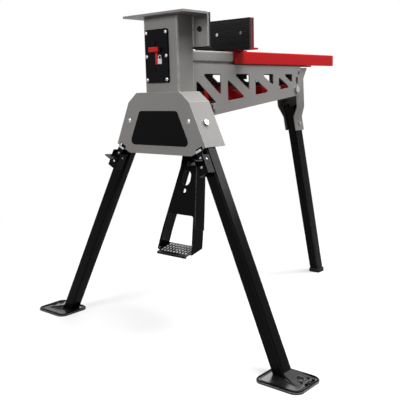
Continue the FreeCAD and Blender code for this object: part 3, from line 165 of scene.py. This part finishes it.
def broken_edges(name, mesh, finish, edge):
    """A mesh with its sharp edges broken, as on sheared steel. These and its long corners are marked for a
    painted highlight.
    """
    smoothed(mesh, sheet_crease)
    mesh.materials.clear()
    mesh.materials.append(finish)
    mesh.materials.append(finish)
    rough_piece = bpy.data.objects.new(name + "_rough", mesh)
    bpy.context.scene.collection.objects.link(rough_piece)
    bevel = rough_piece.modifiers.new("edge", "BEVEL")
    bevel.width = edge
    bevel.segments = 2
    bevel.limit_method = "ANGLE"
    bevel.angle_limit = math.radians(broken_angle)
    bevel.harden_normals = True
    bevel.material = 1
    soft = settled(rough_piece)
    bpy.data.objects.remove(rough_piece)
    # Bevel faces get the full painted highlight, and long corner strips a share of it.
    highlight_weights = [1.0 if face.material_index == 1 else corner_highlight * is_strip(soft, face) for face in soft.polygons]
    soft.attributes.new("edge_highlight", "FLOAT", "FACE").data.foreach_set("value", highlight_weights)
    soft.polygons.foreach_set("material_index", [0] * len(soft.polygons))
    return soft


slot_of = {entry["node"]: entry["material_slot"] for entry in frame["record"]["subparts"]}
same_point, flat_angle = 1e-6, 0.5


def eased(node, finish, edge=0.0008):
    """A CAD node with its sharp edges broken, which then stands for the node."""
    mesh = frame["nodes"][node].data.copy()
    form = bmesh.new()
    form.from_mesh(mesh)
    bmesh.ops.remove_doubles(form, verts=form.verts, dist=same_point)
    bmesh.ops.dissolve_limit(form, angle_limit=math.radians(flat_angle), verts=form.verts, edges=form.edges)
    form.to_mesh(mesh)
    form.free()
    soft = broken_edges(node, mesh, finish, edge)
    piece = put_in_scene(node + "_eased", soft, finish, frame["nodes"][node]["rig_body"])
    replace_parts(piece, node)


# The edge colour, here and in the finishes below, is a painted highlight along edges and corners.
warm_grey = powder_coat("warm_grey_paint", pale=(0.267, 0.257, 0.248), deep=(0.226, 0.218, 0.210), rough=0.42,
                        edge=(0.66, 0.64, 0.62))
eased("front_column", warm_grey)

# Fixed jaw. A thick plate bent to a ledge on top of the column and a jaw behind it. It is welded to the
# column's corners. The weld is a rippled bead, painted over in grey, paler than the column's as a painted
# highlight for the shine on its crests.
eased("fixed_jaw_plate", warm_grey, edge=0.0015)


def new_tree(name, sizes, base=False):
    """An empty tree with named sizes, and its input sockets."""
    tree = bpy.data.node_groups.new(name, "GeometryNodeTree")
    if base:
        tree.interface.new_socket("Geometry", in_out="INPUT", socket_type="NodeSocketGeometry")
    for label, kind in sizes.items():
        tree.interface.new_socket(label, in_out="INPUT", socket_type="NodeSocket" + kind)
    tree.interface.new_socket("Geometry", in_out="OUTPUT", socket_type="NodeSocketGeometry")
    return tree, add_node(tree, "NodeGroupInput").outputs


def close_tree(tree, shape, finish):
    """The end of a tree: its copies made real and given their finish."""
    solid = add_node(tree, "GeometryNodeRealizeInstances", {"Geometry": shape})
    dyed = add_node(tree, "GeometryNodeSetMaterial", {
        "Geometry": solid.outputs["Geometry"], "Material": finish})
    add_node(tree, "NodeGroupOutput", {"Geometry": dyed.outputs["Geometry"]})
    return tree


def grown_mesh(tree, values, start=None, crease=45.0):
    """The plain mesh that a tree makes with the given sizes."""
    seed = bpy.data.objects.new("seed", start or bpy.data.meshes.new("seed"))
    bpy.context.scene.collection.objects.link(seed)
    modifier = seed.modifiers.new("tree", "NODES")
    modifier.node_group = tree
    for item in tree.interface.items_tree:
        if item.in_out == "INPUT" and item.name in values:
            modifier[item.identifier] = values[item.name]
    mesh = settled(seed)
    bpy.data.objects.remove(seed)
    smoothed(mesh, crease)
    return mesh


def weld_tree(name, finish):
    """A tree that sets one flattened ball of uneven size at each step of a weld."""
    tree, given = new_tree(name, {
        "Ripples": "Int", "Start": "Vector", "Step": "Vector", "Ripple Radius": "Float", "Seed": "Int"})
    run = add_node(tree, "GeometryNodeMeshLine", {
        "Count": given["Ripples"], "Start Location": given["Start"], "Offset": given["Step"]}, mode="OFFSET")
    ball = add_node(tree, "GeometryNodeMeshUVSphere", {
        "Segments": 10, "Rings": 6, "Radius": given["Ripple Radius"]})
    size = add_node(tree, "FunctionNodeRandomValue", {
        "Seed": given["Seed"], "Min": (0.85, 0.85, 0.9), "Max": (1.15, 1.10, 1.2)}, data_type="FLOAT_VECTOR")
    spread = add_node(tree, "GeometryNodeInstanceOnPoints", {
        "Points": run.outputs["Mesh"], "Instance": ball.outputs["Mesh"], "Scale": size.outputs["Value"]})
    return close_tree(tree, spread.outputs["Instances"], finish)


def mesh_of(name, form):
    """A form that is done, as a plain mesh."""
    mesh = bpy.data.meshes.new(name)
    form.to_mesh(mesh)
    form.free()
    return mesh


def joined(name, meshes):
    """Several meshes as one."""
    form = bmesh.new()
    for mesh in meshes:
        form.from_mesh(mesh)
    return mesh_of(name, form)


column_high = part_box("front_column")[1]
jaw_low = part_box("fixed_jaw_plate")[0]
weld_ripples, weld_radius, weld_seed = 30, 0.0044, 4
weld_margin, weld_sink = 0.004, 0.0006
weld_step = (column_high.z - jaw_low.z - 2 * weld_margin) / (weld_ripples - 1)
# The weld's grey is paler than the column's: a painted highlight for the shine on its crests.
weld_highlit_grey = powder_coat("weld_grey_paint", pale=(0.46, 0.45, 0.44), deep=(0.30, 0.29, 0.28), rough=0.28,
                        grain=1400.0, peel=0.3, gloss=0.5)
jaw_welds = weld_tree("jaw_welds", weld_highlit_grey)
weld_back, weld_low = column_high.y - weld_sink, jaw_low.z + weld_margin
weld_runs = [grown_mesh(jaw_welds, {
    "Ripples": weld_ripples, "Start": (side * column_high.x, weld_back, weld_low),
    "Step": (0.0, 0.0, weld_step), "Ripple Radius": weld_radius, "Seed": weld_seed + side})
    for side in (-1, 1)]
put_in_scene("jaw_weld", joined("jaw_weld", weld_runs), weld_highlit_grey, "frame")

# Jaw pads. Black moulded rubber plates with many fine level ribs, screwed to the fixed and the moving jaw.
# The same moulding lines both faces of the moving jaw, with a bolder bar near its top and bottom.
# Its edge colour is a painted highlight.
pad_rubber = powder_coat("ribbed_rubber", pale=(0.013, 0.013, 0.014), deep=(0.006, 0.006, 0.007), rough=0.62,
                         edge=(0.03, 0.03, 0.03), grain=700.0, peel=0.25, gloss=0.16)


def rib_tree(name, finish):
    """A tree of level ribs: a column of points, each with a rounded bar on it."""
    tree, given = new_tree(name, {
        "Rib Count": "Int", "Rib Length": "Float", "Rib Radius": "Float", "Rib Step": "Vector",
        "First Rib": "Vector"})
    rows = add_node(tree, "GeometryNodeMeshLine", {
        "Count": given["Rib Count"], "Start Location": given["First Rib"], "Offset": given["Rib Step"]},
        mode="OFFSET")
    bar = add_node(tree, "GeometryNodeMeshCylinder", {
        "Vertices": 10, "Radius": given["Rib Radius"], "Depth": given["Rib Length"]})
    laid = add_node(tree, "GeometryNodeTransform", {
        "Geometry": bar.outputs["Mesh"], "Rotation": (0, math.pi / 2, 0)})
    spread = add_node(tree, "GeometryNodeInstanceOnPoints", {
        "Points": rows.outputs["Mesh"], "Instance": laid.outputs["Geometry"]})
    return close_tree(tree, spread.outputs["Instances"], finish)


def slab(form, low, high):
    """A block between two corners."""
    size = [b - a for a, b in zip(low, high)]
    middle = [(a + b) / 2 for a, b in zip(low, high)]
    place = Matrix.Translation(middle) @ Matrix.Diagonal((*size, 1.0))
    bmesh.ops.create_cube(form, size=1.0, matrix=place)


pad_ribs = rib_tree("pad_ribs", pad_rubber)
rib_radius, rib_rows, rib_crease = 0.0017, 19, 50.0
bold_bars, bold_inset, bold_rise, bold_half = (0.11, 0.89), 0.004, 0.0014, 0.0016
for node, face, body in (("fixed_jaw_pad", 1, "frame"), ("moving_jaw_pad_front", -1, "carriage"),
                         ("moving_jaw_pad_rear", 1, "carriage")):
    low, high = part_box(node)
    back, front = (low.y, high.y - rib_radius) if face > 0 else (low.y + rib_radius, high.y)
    ribbed_side = front if face > 0 else back
    rib_step = (high.z - low.z - 2 * rib_radius) / (rib_rows - 1)
    ribs = grown_mesh(pad_ribs, {
        "Rib Count": rib_rows, "Rib Length": high.x - low.x, "Rib Radius": rib_radius,
        "Rib Step": (0.0, 0.0, rib_step), "First Rib": (0.0, ribbed_side, low.z + rib_radius)},
        crease=rib_crease)
    pad = bmesh.new()
    pad.from_mesh(ribs)
    slab(pad, (low.x, back, low.z), (high.x, front, high.z))
    for share in bold_bars:
        z = low.z + (high.z - low.z) * share
        slab(pad, (low.x + bold_inset, ribbed_side - bold_rise, z - bold_half),
             (high.x - bold_inset, ribbed_side + bold_rise, z + bold_half))
    pad_mesh = mesh_of(node + "_ribbed", pad)
    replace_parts(put_in_scene(node + "_ribbed", pad_mesh, pad_rubber, body), node)

# Screws of the jaws. Dark countersunk screws of oiled steel hold the fixed pad.
# Bright zinc-plated heads hold the two pads of the moving jaw.
zinc = powder_coat("zinc_plate", pale=(0.52, 0.53, 0.54), deep=(0.34, 0.35, 0.37), rough=0.28, grain=1500.0,
                   peel=0.10, gloss=0.5, metallic=1.0, patch=40.0)
# The edge colours of these finishes are painted highlights.
dark_steel = powder_coat("oiled_steel", pale=(0.014, 0.014, 0.014), deep=(0.006, 0.006, 0.006), rough=0.45,
                         edge=(0.06, 0.06, 0.06), grain=1200.0, peel=0.15, gloss=0.08, metallic=0.2)
eased("fixed_jaw_screws", dark_steel, edge=0.0005)
eased("moving_jaw_bolts", zinc, edge=0.0005)

# Truss beam. Two side plates cut with three-cornered windows, whose top edges turn in under the rail's strip.
# The cut edges are broken to catch the light, and coloured paler as a painted highlight, so they show as fine
# pale lines.
for node in ("side_plate_left", "side_plate_right", "neck_bar", "rail"):
    eased(node, warm_grey, edge=0.0016)

# Leg bracket. A folded sheet hood with a flat front and sloping walls, which holds the column and both front
# legs. Its dark panel is left bare, between two cross-head screws.
eased("leg_bracket", warm_grey, edge=0.0013)
# Its edge colour is a painted highlight.
panel_black = powder_coat("panel_black", pale=(0.004, 0.004, 0.005), deep=(0.003, 0.003, 0.003), rough=0.5,
                          edge=(0.02, 0.02, 0.02), grain=1600.0, peel=0.3, gloss=0.03)
eased("name_panel", panel_black, edge=0.0005)


def screw_tree(name, finish):
    """A tree that sets a domed head with a cross recess on every point of a mesh, facing -y."""
    tree, given = new_tree(name, {
        "Head Radius": "Float", "Head Height": "Float", "Recess Width": "Float"}, base=True)
    radius, height, width = (given[label] for label in ("Head Radius", "Head Height", "Recess Width"))
    ball = add_node(tree, "GeometryNodeMeshUVSphere", {"Segments": 24, "Rings": 12, "Radius": 1.0})
    size = add_node(tree, "ShaderNodeCombineXYZ", {"X": radius, "Y": height, "Z": radius})
    dome = add_node(tree, "GeometryNodeTransform", {
        "Geometry": ball.outputs["Mesh"], "Scale": size.outputs["Vector"]})
    arm = add_node(tree, "ShaderNodeMath", {0: radius, 1: 1.1}, operation="MULTIPLY").outputs["Value"]
    tall = add_node(tree, "ShaderNodeCombineXYZ", {"X": width, "Y": height, "Z": arm})
    wide = add_node(tree, "ShaderNodeCombineXYZ", {"X": arm, "Y": height, "Z": width})
    front = add_node(tree, "ShaderNodeMath", {0: height, 1: -1.0}, operation="MULTIPLY")
    offset = add_node(tree, "ShaderNodeCombineXYZ", {"Y": front.outputs["Value"]})
    cutters = add_node(tree, "GeometryNodeJoinGeometry")
    for block in (tall, wide):
        cube = add_node(tree, "GeometryNodeMeshCube", {"Size": block.outputs["Vector"]})
        moved = add_node(tree, "GeometryNodeTransform", {
            "Geometry": cube.outputs["Mesh"], "Translation": offset.outputs["Vector"]})
        tree.links.new(moved.outputs["Geometry"], cutters.inputs["Geometry"])
    head = add_node(tree, "GeometryNodeMeshBoolean", {
        "Mesh 1": dome.outputs["Geometry"], "Mesh 2": cutters.outputs["Geometry"]}, operation="DIFFERENCE")
    spread = add_node(tree, "GeometryNodeInstanceOnPoints", {
        "Points": given["Geometry"], "Instance": head.outputs["Mesh"]})
    return close_tree(tree, spread.outputs["Instances"], finish)


pan_heads = screw_tree("pan_heads", zinc)
recess_share = 0.28


def heads_at(name, points, radius, height, recess):
    """The mesh of pan heads at the given points."""
    mesh = bpy.data.meshes.new(name + "_points")
    mesh.from_pydata(points, [], [])
    return grown_mesh(pan_heads, {"Head Radius": radius, "Head Height": height, "Recess Width": recess}, mesh)


def screw_heads(name, points, radius, height, node):
    """Pan heads in one piece, which stand for the CAD's plain heads."""
    heads = heads_at(name, points, radius, height, radius * recess_share)
    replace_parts(put_in_scene(name, heads, zinc, "frame"), node)


screw_low, screw_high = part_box("bracket_screws")
bracket_head_radius, bracket_head_height, bracket_head_seat = 0.0065, 0.0032, 0.003
screw_level = (screw_low.z + screw_high.z) / 2
screw_heads("bracket_screw_heads", [
    (side * (screw_high.x - bracket_head_radius), screw_low.y + bracket_head_seat, screw_level)
    for side in (-1, 1)], bracket_head_radius, bracket_head_height, "bracket_screws")

# Leg pivots. Zinc-plated hex bolts through the bracket's walls and the inner cheeks, with washers beside the
# tubes. The cheeks are plain grey sheet, hidden inside the bracket.
for node in ("leg_cheek_left", "leg_cheek_right"):
    eased(node, warm_grey, edge=0.0006)
for node in ("leg_pivot_bolts", "leg_pivot_washers", "rear_pivot_bolt"):
    eased(node, zinc, edge=0.0006)

# Clamp lock. A black cover on the column's front, held by pan-head screws, with a sliding T handle of red
# plastic. A small pale padlock sign beside the slot shows which way locks.
# The edge colours of the cover and the lever are painted highlights.
cover_black = powder_coat("cover_black", pale=(0.005, 0.005, 0.006), deep=(0.003, 0.003, 0.004), rough=0.5,
                          edge=(0.04, 0.04, 0.04), grain=1200.0, peel=0.3, gloss=0.04)
eased("lock_cover", cover_black, edge=0.0012)
eased("lock_slide", cover_black, edge=0.0004)
lever_red = powder_coat("lever_red_plastic", pale=(0.61, 0.019, 0.019), deep=(0.54, 0.015, 0.016), rough=0.38,
                        edge=(0.70, 0.05, 0.05), grain=1100.0, peel=0.10, gloss=0.16)
eased("lock_lever", lever_red, edge=0.0012)
cover_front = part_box("lock_cover")[0].y
screw_low, screw_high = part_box("lock_cover_screws")
cover_head_radius, cover_head_height = 0.005, 0.0026
columns = (screw_low.x + cover_head_radius, screw_high.x - cover_head_radius)
rows = (screw_low.z + cover_head_radius, (screw_low.z + screw_high.z) / 2, screw_high.z - cover_head_radius)
screw_heads("lock_screw_heads", [(x, cover_front, z) for x in columns for z in rows], cover_head_radius,
            cover_head_height, "lock_cover_screws")


def close_rings(form, rings):
    """Walls from each ring of corners to the next, a lid on both ends, and all faces turned outwards."""
    for ring, after in zip(rings, rings[1:]):
        for corner in range(len(ring)):
            beside = (corner + 1) % len(ring)
            form.faces.new((ring[corner], ring[beside], after[beside], after[corner]))
    form.faces.new(rings[0])
    form.faces.new(rings[-1][::-1])
    bmesh.ops.recalc_face_normals(form, faces=form.faces)


sign_white = powder_coat("sign_white", pale=(0.80, 0.80, 0.80), deep=(0.70, 0.70, 0.70), rough=0.5)
sign_x, sign_z = 0.0012, 0.7521
sign_front, sign_back = cover_front - 0.0004, cover_front + 0.0002
lock_half, lock_low, lock_high = 0.0070, -0.0081, 0.0054
bow_outer, bow_inner, bow_rise, bow_steps = 0.0056, 0.0034, 0.0101, 14
post_middle, post_half, post_low, post_high = 0.0045, 0.0011, 0.0047, 0.0102
padlock = bmesh.new()
slab(padlock, (sign_x - lock_half, sign_front, sign_z + lock_low),
     (sign_x + lock_half, sign_back, sign_z + lock_high))
bow_rings = []
for step in range(bow_steps + 1):
    turn = math.pi * step / bow_steps
    bow_rings.append([
        padlock.verts.new((sign_x + math.cos(turn) * r, y, sign_z + bow_rise + math.sin(turn) * r))
        for r, y in ((bow_outer, sign_front), (bow_inner, sign_front), (bow_inner, sign_back),
                     (bow_outer, sign_back))])
for side in (-1, 1):
    post_x = sign_x + side * post_middle
    slab(padlock, (post_x - post_half, sign_front, sign_z + post_low),
         (post_x + post_half, sign_back, sign_z + post_high))
close_rings(padlock, bow_rings)
put_in_scene("padlock_sign", mesh_of("padlock_sign", padlock), sign_white, "frame")

# Jaw carriage. A red channel that wraps the rail, a base strip and a jaw plate between the two pads.
# Its sheet is bent cold and painted red.
# Its edge colour is a painted highlight.
signal_red = powder_coat("signal_red_paint", pale=(0.50, 0.012, 0.013), deep=(0.43, 0.008, 0.009), rough=0.42,
                         edge=(0.62, 0.03, 0.03), peel=0.08, gloss=0.05)
for node in ("slide_sleeve", "jaw_base", "moving_jaw_plate"):
    eased(node, signal_red, edge=0.0010)

# Clamp drive. The pedal's red crank pulls a toothed bar on a red channel, and a pawl under the carriage drops
# into it. The bar and the pawl are oiled steel. Rods of dull zinc, riveted flush in the side plates, guide
# the channel.
for node in ("drive_channel", "pedal_crank"):
    eased(node, signal_red, edge=0.0006)
for node in ("ratchet_rack", "pawl", "pawl_carrier"):
    eased(node, dark_steel, edge=0.0004)
dull_zinc = powder_coat("dull_zinc", pale=(0.24, 0.235, 0.23), deep=(0.19, 0.185, 0.18), rough=0.5,
                        grain=1500.0, peel=0.10, gloss=0.3, metallic=0.8, patch=40.0)
for node in ("guide_rods", "pedal_pivot_pin", "crank_pin", "pawl_pin", "pedal_spacers", "rear_spacers"):
    eased(node, dull_zinc, edge=0.0004)

# Foot pedal. A black folded channel with a tall window, closed at its foot by a sloping tread with a
# turned-down lip. The tread has rows of raised bars in a pale grey.
# Its edge colour is a painted highlight along the black parts' edges and corners.
gloss_black = powder_coat("gloss_black_paint", pale=(0.003, 0.003, 0.003), deep=(0.0015, 0.0015, 0.0015),
                          rough=0.23, edge=(0.14, 0.14, 0.14), grain=800.0, gloss=0.04)
# The tread's bars are a pale grey, far lighter than the black tread.
grip_steel = powder_coat("pale_grip", pale=(0.72, 0.72, 0.72), deep=(0.34, 0.34, 0.34), rough=0.42,
                         grain=1200.0, peel=0.15, gloss=0.3, metallic=0.2, patch=120.0)
eased("pedal_arm", gloss_black)
eased("pedal_tread", gloss_black)


def grip_tree(name, finish):
    """A tree of rounded bars in rows and columns on a flat field, all along y."""
    tree, given = new_tree(name, {
        "Field Width": "Float", "Field Depth": "Float", "Columns": "Int", "Rows": "Int",
        "Bar Length": "Float", "Bar Radius": "Float"})
    field = add_node(tree, "GeometryNodeMeshGrid", {
        "Size X": given["Field Width"], "Size Y": given["Field Depth"], "Vertices X": given["Columns"],
        "Vertices Y": given["Rows"]})
    bar = add_node(tree, "GeometryNodeMeshCylinder", {
        "Vertices": 10, "Radius": given["Bar Radius"], "Depth": given["Bar Length"]})
    laid = add_node(tree, "GeometryNodeTransform", {
        "Geometry": bar.outputs["Mesh"], "Rotation": (math.pi / 2, 0, 0), "Scale": (1.0, 1.0, 0.7)})
    spread = add_node(tree, "GeometryNodeInstanceOnPoints", {
        "Points": field.outputs["Mesh"], "Instance": laid.outputs["Geometry"]})
    return close_tree(tree, spread.outputs["Instances"], finish)


tread_bars = grip_tree("tread_bars", grip_steel)
pedal_lean = math.radians(16.1)
pedal_place = Matrix.Translation((0.0, -0.199363, 0.628)) @ Matrix.Rotation(-pedal_lean, 4, "X")
tread_front, tread_rear = Vector((0.0, -0.028, -0.42305)), Vector((0.0, 0.026, -0.392))
tread_slope = math.atan2(tread_rear.z - tread_front.z, tread_rear.y - tread_front.y)
tread_middle = (tread_front + tread_rear) / 2
bars = grown_mesh(tread_bars, {
    "Field Width": 0.090, "Field Depth": 0.036, "Columns": 9, "Rows": 4, "Bar Length": 0.008,
    "Bar Radius": 0.0026})
bars.transform(pedal_place @ Matrix.Translation(tread_middle) @ Matrix.Rotation(tread_slope, 4, "X"))
put_in_scene("tread_grip_bars", bars, grip_steel, "pedal")

# Pedal straps. Thin black plates spot-welded outside the upper arm's two flanges, which end in a step above
# the foot. They double the sheet where the crank's load comes in.
strap_thick, strap_front, strap_rear = 0.0018, -0.0125, 0.0282
strap_line = ((0.0283, -0.095), (0.0283, -0.177), (0.0574, -0.345))
straps = bmesh.new()
for side in (-1, 1):
    close_rings(straps, [[straps.verts.new((side * x, y, z)) for x, y in (
        (half, strap_front), (half + strap_thick, strap_front), (half + strap_thick, strap_rear),
        (half, strap_rear))] for half, z in strap_line])
strap_mesh = broken_edges("pedal_straps", mesh_of("pedal_straps", straps), gloss_black, edge=0.0006)
strap_mesh.transform(pedal_place)
put_in_scene("pedal_straps", strap_mesh, gloss_black, "pedal")

# Front legs. Square black tubes on wide foot plates, with a spring latch in a housing near the top.
# The plates have a pressed rim and raised marks round the holes, in a flat black darker than the plate as
# painted shade of the grooves and slots. The latch's tongue is bare zinc.
# Its edge colour is a painted highlight; its gloss gives the sheen.
edge_lit_black = powder_coat("rubbed_black_paint", pale=(0.012, 0.012, 0.012), deep=(0.002, 0.002, 0.002),
                           rough=0.22, edge=(0.22, 0.22, 0.22), grain=500.0, peel=0.14, gloss=0.42,
                           patch=110.0)


def rim_tree(name, finish):
    """A tree that runs a round bead along a rectangle with rounded corners."""
    tree, given = new_tree(name, {
        "Rim Length": "Float", "Rim Width": "Float", "Rim Corner": "Float", "Bead Radius": "Float"})
    outline = add_node(tree, "GeometryNodeCurvePrimitiveQuadrilateral", {
        "Width": given["Rim Length"], "Height": given["Rim Width"]})
    bend = add_node(tree, "GeometryNodeFilletCurve", {
        "Curve": outline.outputs["Curve"], "Count": 8, "Radius": given["Rim Corner"]}, mode="POLY")
    section = add_node(tree, "GeometryNodeCurvePrimitiveCircle", {
        "Resolution": 10, "Radius": given["Bead Radius"]})
    bead = add_node(tree, "GeometryNodeCurveToMesh", {
        "Curve": bend.outputs["Curve"], "Profile Curve": section.outputs["Curve"]})
    return close_tree(tree, bead.outputs["Mesh"], finish)


# Rims and marks are real pressed shapes; their flat black, darker than the plate, is painted shade.
foot_rims = rim_tree("foot_rims", gloss_black)
foot_marks = grip_tree("foot_marks", gloss_black)
plate_top, leg_from_side, leg_from_front = 0.005, 0.042, 0.068
mark_place, mark_rise = 0.0646, 0.0016
leg_splay, leg_lean = math.radians(26.3), math.radians(4.2)
leg_top_x, leg_top_y, leg_top_z = 0.1132, -0.342363, 0.582
tongue = ((-0.0094, -0.0340, -0.0715), (0.0094, -0.0300, -0.0655))
nib = ((-0.0030, -0.0345, -0.0890), (0.0030, -0.0300, -0.0845))
rivet_place, rivet_radius, rivet_height, rivet_recess = (0.0, -0.0415, -0.1115), 0.0036, 0.0018, 0.0008
for side, outward in (("left", -1), ("right", 1)):
    leg_body, foot_slot = side + "_leg", slot_of["foot_plate_" + side]
    eased("front_leg_" + side, gloss_black)
    eased("foot_plate_" + side, edge_lit_black)
    eased("latch_housing_" + side, gloss_black)
    eased("latch_lever_" + side, gloss_black, edge=0.0005)
    eased("latch_pin_" + side, zinc, edge=0.0005)

    low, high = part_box("foot_plate_" + side)
    plate_length, plate_width = high.x - low.x, high.y - low.y
    middle = Vector(((low.x + high.x) / 2, (low.y + high.y) / 2, plate_top))
    inner_side = low.x if outward > 0 else high.x
    leg_foot = Vector((inner_side + outward * leg_from_side, low.y + leg_from_front, plate_top))
    beads = []
    for place, length, width, corner, bead in (
            (middle, plate_length - 0.007, plate_width - 0.007, 0.0185, 0.0026),
            (middle, plate_length - 0.020, plate_width - 0.020, 0.013, 0.0009),
            (leg_foot + Vector((outward * 0.046, 0.0, 0.0)), 0.0215, 0.0215, 0.0107, 0.0014),
            (leg_foot + Vector((outward * 0.074, 0.0, 0.0)), 0.0135, 0.0135, 0.0067, 0.0022)):
        ring = grown_mesh(foot_rims, {
            "Rim Length": length, "Rim Width": width, "Rim Corner": corner, "Bead Radius": bead})
        ring.transform(Matrix.Translation(place))
        beads.append(ring)
    rim = joined("foot_rim_" + side, beads)
    marks = grown_mesh(foot_marks, {
        "Field Width": 0.030, "Field Depth": 0.014, "Columns": 2, "Rows": 2, "Bar Length": 0.010,
        "Bar Radius": 0.0022})
    marks.transform(Matrix.Translation(leg_foot + Vector((outward * mark_place, 0.0, mark_rise)))
                    @ Matrix.Rotation(math.pi / 2, 4, "Z"))
    put_in_scene("foot_rim_" + side, rim, gloss_black, leg_body)
    put_in_scene("foot_marks_" + side, marks, gloss_black, leg_body)

    leg_place = (Matrix.Translation((outward * leg_top_x, leg_top_y, leg_top_z))
                 @ Matrix.Rotation(-outward * leg_splay, 4, "Y") @ Matrix.Rotation(-leg_lean, 4, "X"))
    tip = bmesh.new()
    slab(tip, *tongue)
    slab(tip, *nib)
    tip_mesh = broken_edges("latch_tip_" + side, mesh_of("latch_tip_" + side, tip), zinc, edge=0.0004)
    tip_mesh.transform(leg_place)
    put_in_scene("latch_tip_" + side, tip_mesh, zinc, side + "_latch")
    rivet = heads_at("latch_rivet", [rivet_place], rivet_radius, rivet_height, rivet_recess)
    rivet.transform(leg_place)
    put_in_scene("latch_rivet_" + side, rivet, zinc, leg_body)

# Rear leg. A grey folded bracket on the beam's end holds one square black tube with a rubber cap.
# A zinc bolt ties the tube to the bracket.
eased("rear_bracket", warm_grey, edge=0.0010)
eased("rear_leg_tube", gloss_black)
eased("rear_leg_bolt", zinc, edge=0.0005)
eased("rear_foot_cap", pad_rubber, edge=0.0015)

# Studio. A white floor that keeps a faint shadow, soft lamps, and the camera where the photograph was taken
# from. The largest lamp hangs overhead, a little to the right.
floor_reach = 12.0
floor_corners = [(x * floor_reach, y * floor_reach, 0) for x, y in ((-1, -1), (1, -1), (1, 1), (-1, 1))]
floor_mesh = bpy.data.meshes.new("floor")
floor_mesh.from_pydata(floor_corners, [], [(0, 1, 2, 3)])
floor = bpy.data.objects.new("floor", floor_mesh)
bpy.context.scene.collection.objects.link(floor)


def seen_directly(tree):
    """1 for rays from the camera, from a gloss or through glass, and 0 for the light that falls on things."""
    path = add_node(tree, "ShaderNodeLightPath").outputs
    either = add_node(tree, "ShaderNodeMath", {
        0: path["Is Camera Ray"], 1: path["Is Glossy Ray"]}, operation="MAXIMUM").outputs["Value"]
    return add_node(tree, "ShaderNodeMath", {
        0: either, 1: path["Is Transmission Ray"]}, operation="MAXIMUM").outputs["Value"]


floor_paint = bpy.data.materials.new("floor_white")
floor_paint.use_nodes = True
tree = floor_paint.node_tree
white = add_node(tree, "ShaderNodeEmission", {"Color": (1, 1, 1, 1), "Strength": 1.0})
seen = seen_directly(tree)
paper_tone = add_node(tree, "ShaderNodeMix", {
    "Factor": seen, "A": (0.10, 0.10, 0.10, 1), "B": (0.90, 0.90, 0.90, 1)}, data_type="RGBA")
paper = tree.nodes["Principled BSDF"]
feed(paper.inputs["Base Color"], paper_tone.outputs["Result"])
feed(paper.inputs["Roughness"], 0.9)
feed(paper.inputs["Specular IOR Level"], 0.0)
place = add_node(tree, "ShaderNodeTexCoord").outputs["Object"]
away = add_node(tree, "ShaderNodeVectorMath", {0: place}, operation="LENGTH").outputs["Value"]
glow = add_node(tree, "ShaderNodeMapRange", {
    "Value": away, "From Min": 0.8, "From Max": 1.9, "To Min": 0.30, "To Max": 1.0},
    interpolation_type="SMOOTHSTEP")
share = add_node(tree, "ShaderNodeMath", {0: seen, 1: glow.outputs["Result"]}, operation="MULTIPLY")
blend = add_node(tree, "ShaderNodeMixShader", {
    0: share.outputs["Value"], 1: paper.outputs["BSDF"], 2: white.outputs["Emission"]})
feed(tree.nodes["Material Output"].inputs["Surface"], blend.outputs["Shader"])
floor_mesh.materials.append(floor_paint)

world = bpy.data.worlds.new("studio")
bpy.context.scene.world = world
world.use_nodes = True
tree = world.node_tree
backdrop = add_node(tree, "ShaderNodeBackground", {"Color": (1, 1, 1, 1), "Strength": 1.0})
fill = tree.nodes["Background"]
feed(fill.inputs["Color"], (0.97, 0.98, 1.0, 1))
feed(fill.inputs["Strength"], 0.17)
both = add_node(tree, "ShaderNodeMixShader", {
    0: seen_directly(tree), 1: fill.outputs["Background"], 2: backdrop.outputs["Background"]})
feed(tree.nodes["World Output"].inputs["Surface"], both.outputs["Shader"])

lamp_aim = Vector((0, 0, 0.5))
for name, place, size, power in (
        ("overhead", (0.8, 0.1, 2.8), 1.8, 112.0), ("front", (-0.3, -3.2, 1.7), 1.2, 53.0),
        ("right", (1.57, 1.95, 1.85), 0.7, 18.0), ("back", (-2.2, 2.4, 2.0), 2.0, 34.0)):
    lamp = bpy.data.lights.new(name, "AREA")
    lamp.energy = power
    lamp.size = size
    light = bpy.data.objects.new(name, lamp)
    light.location = place
    light.rotation_euler = (lamp_aim - Vector(place)).to_track_quat("-Z", "Y").to_euler()
    bpy.context.scene.collection.objects.link(light)

camera_place = (1.2035, -1.603463, 0.6749)
yaw, pitch, roll = (math.radians(angle) for angle in (-40.908, 9.656, -1.426))
ahead = Vector((math.sin(yaw) * math.cos(pitch), math.cos(yaw) * math.cos(pitch), -math.sin(pitch)))
level = Vector((math.cos(yaw), -math.sin(yaw), 0))
above = level.cross(ahead)
right = math.cos(roll) * level + math.sin(roll) * above
upward = -math.sin(roll) * level + math.cos(roll) * above
film_width, picture_width, focal_pixels = 36.0, 400.0, 647.4
lens = bpy.data.cameras.new("camera")
lens.sensor_width = film_width
lens.lens = film_width * focal_pixels / picture_width
camera = bpy.data.objects.new("camera", lens)
camera_turn = Matrix((right, upward, -ahead)).transposed().to_4x4()
camera.matrix_world = Matrix.Translation(camera_place) @ camera_turn
bpy.context.scene.collection.objects.link(camera)
bpy.context.scene.camera = camera
bpy.context.scene.view_settings.view_transform = "Standard"
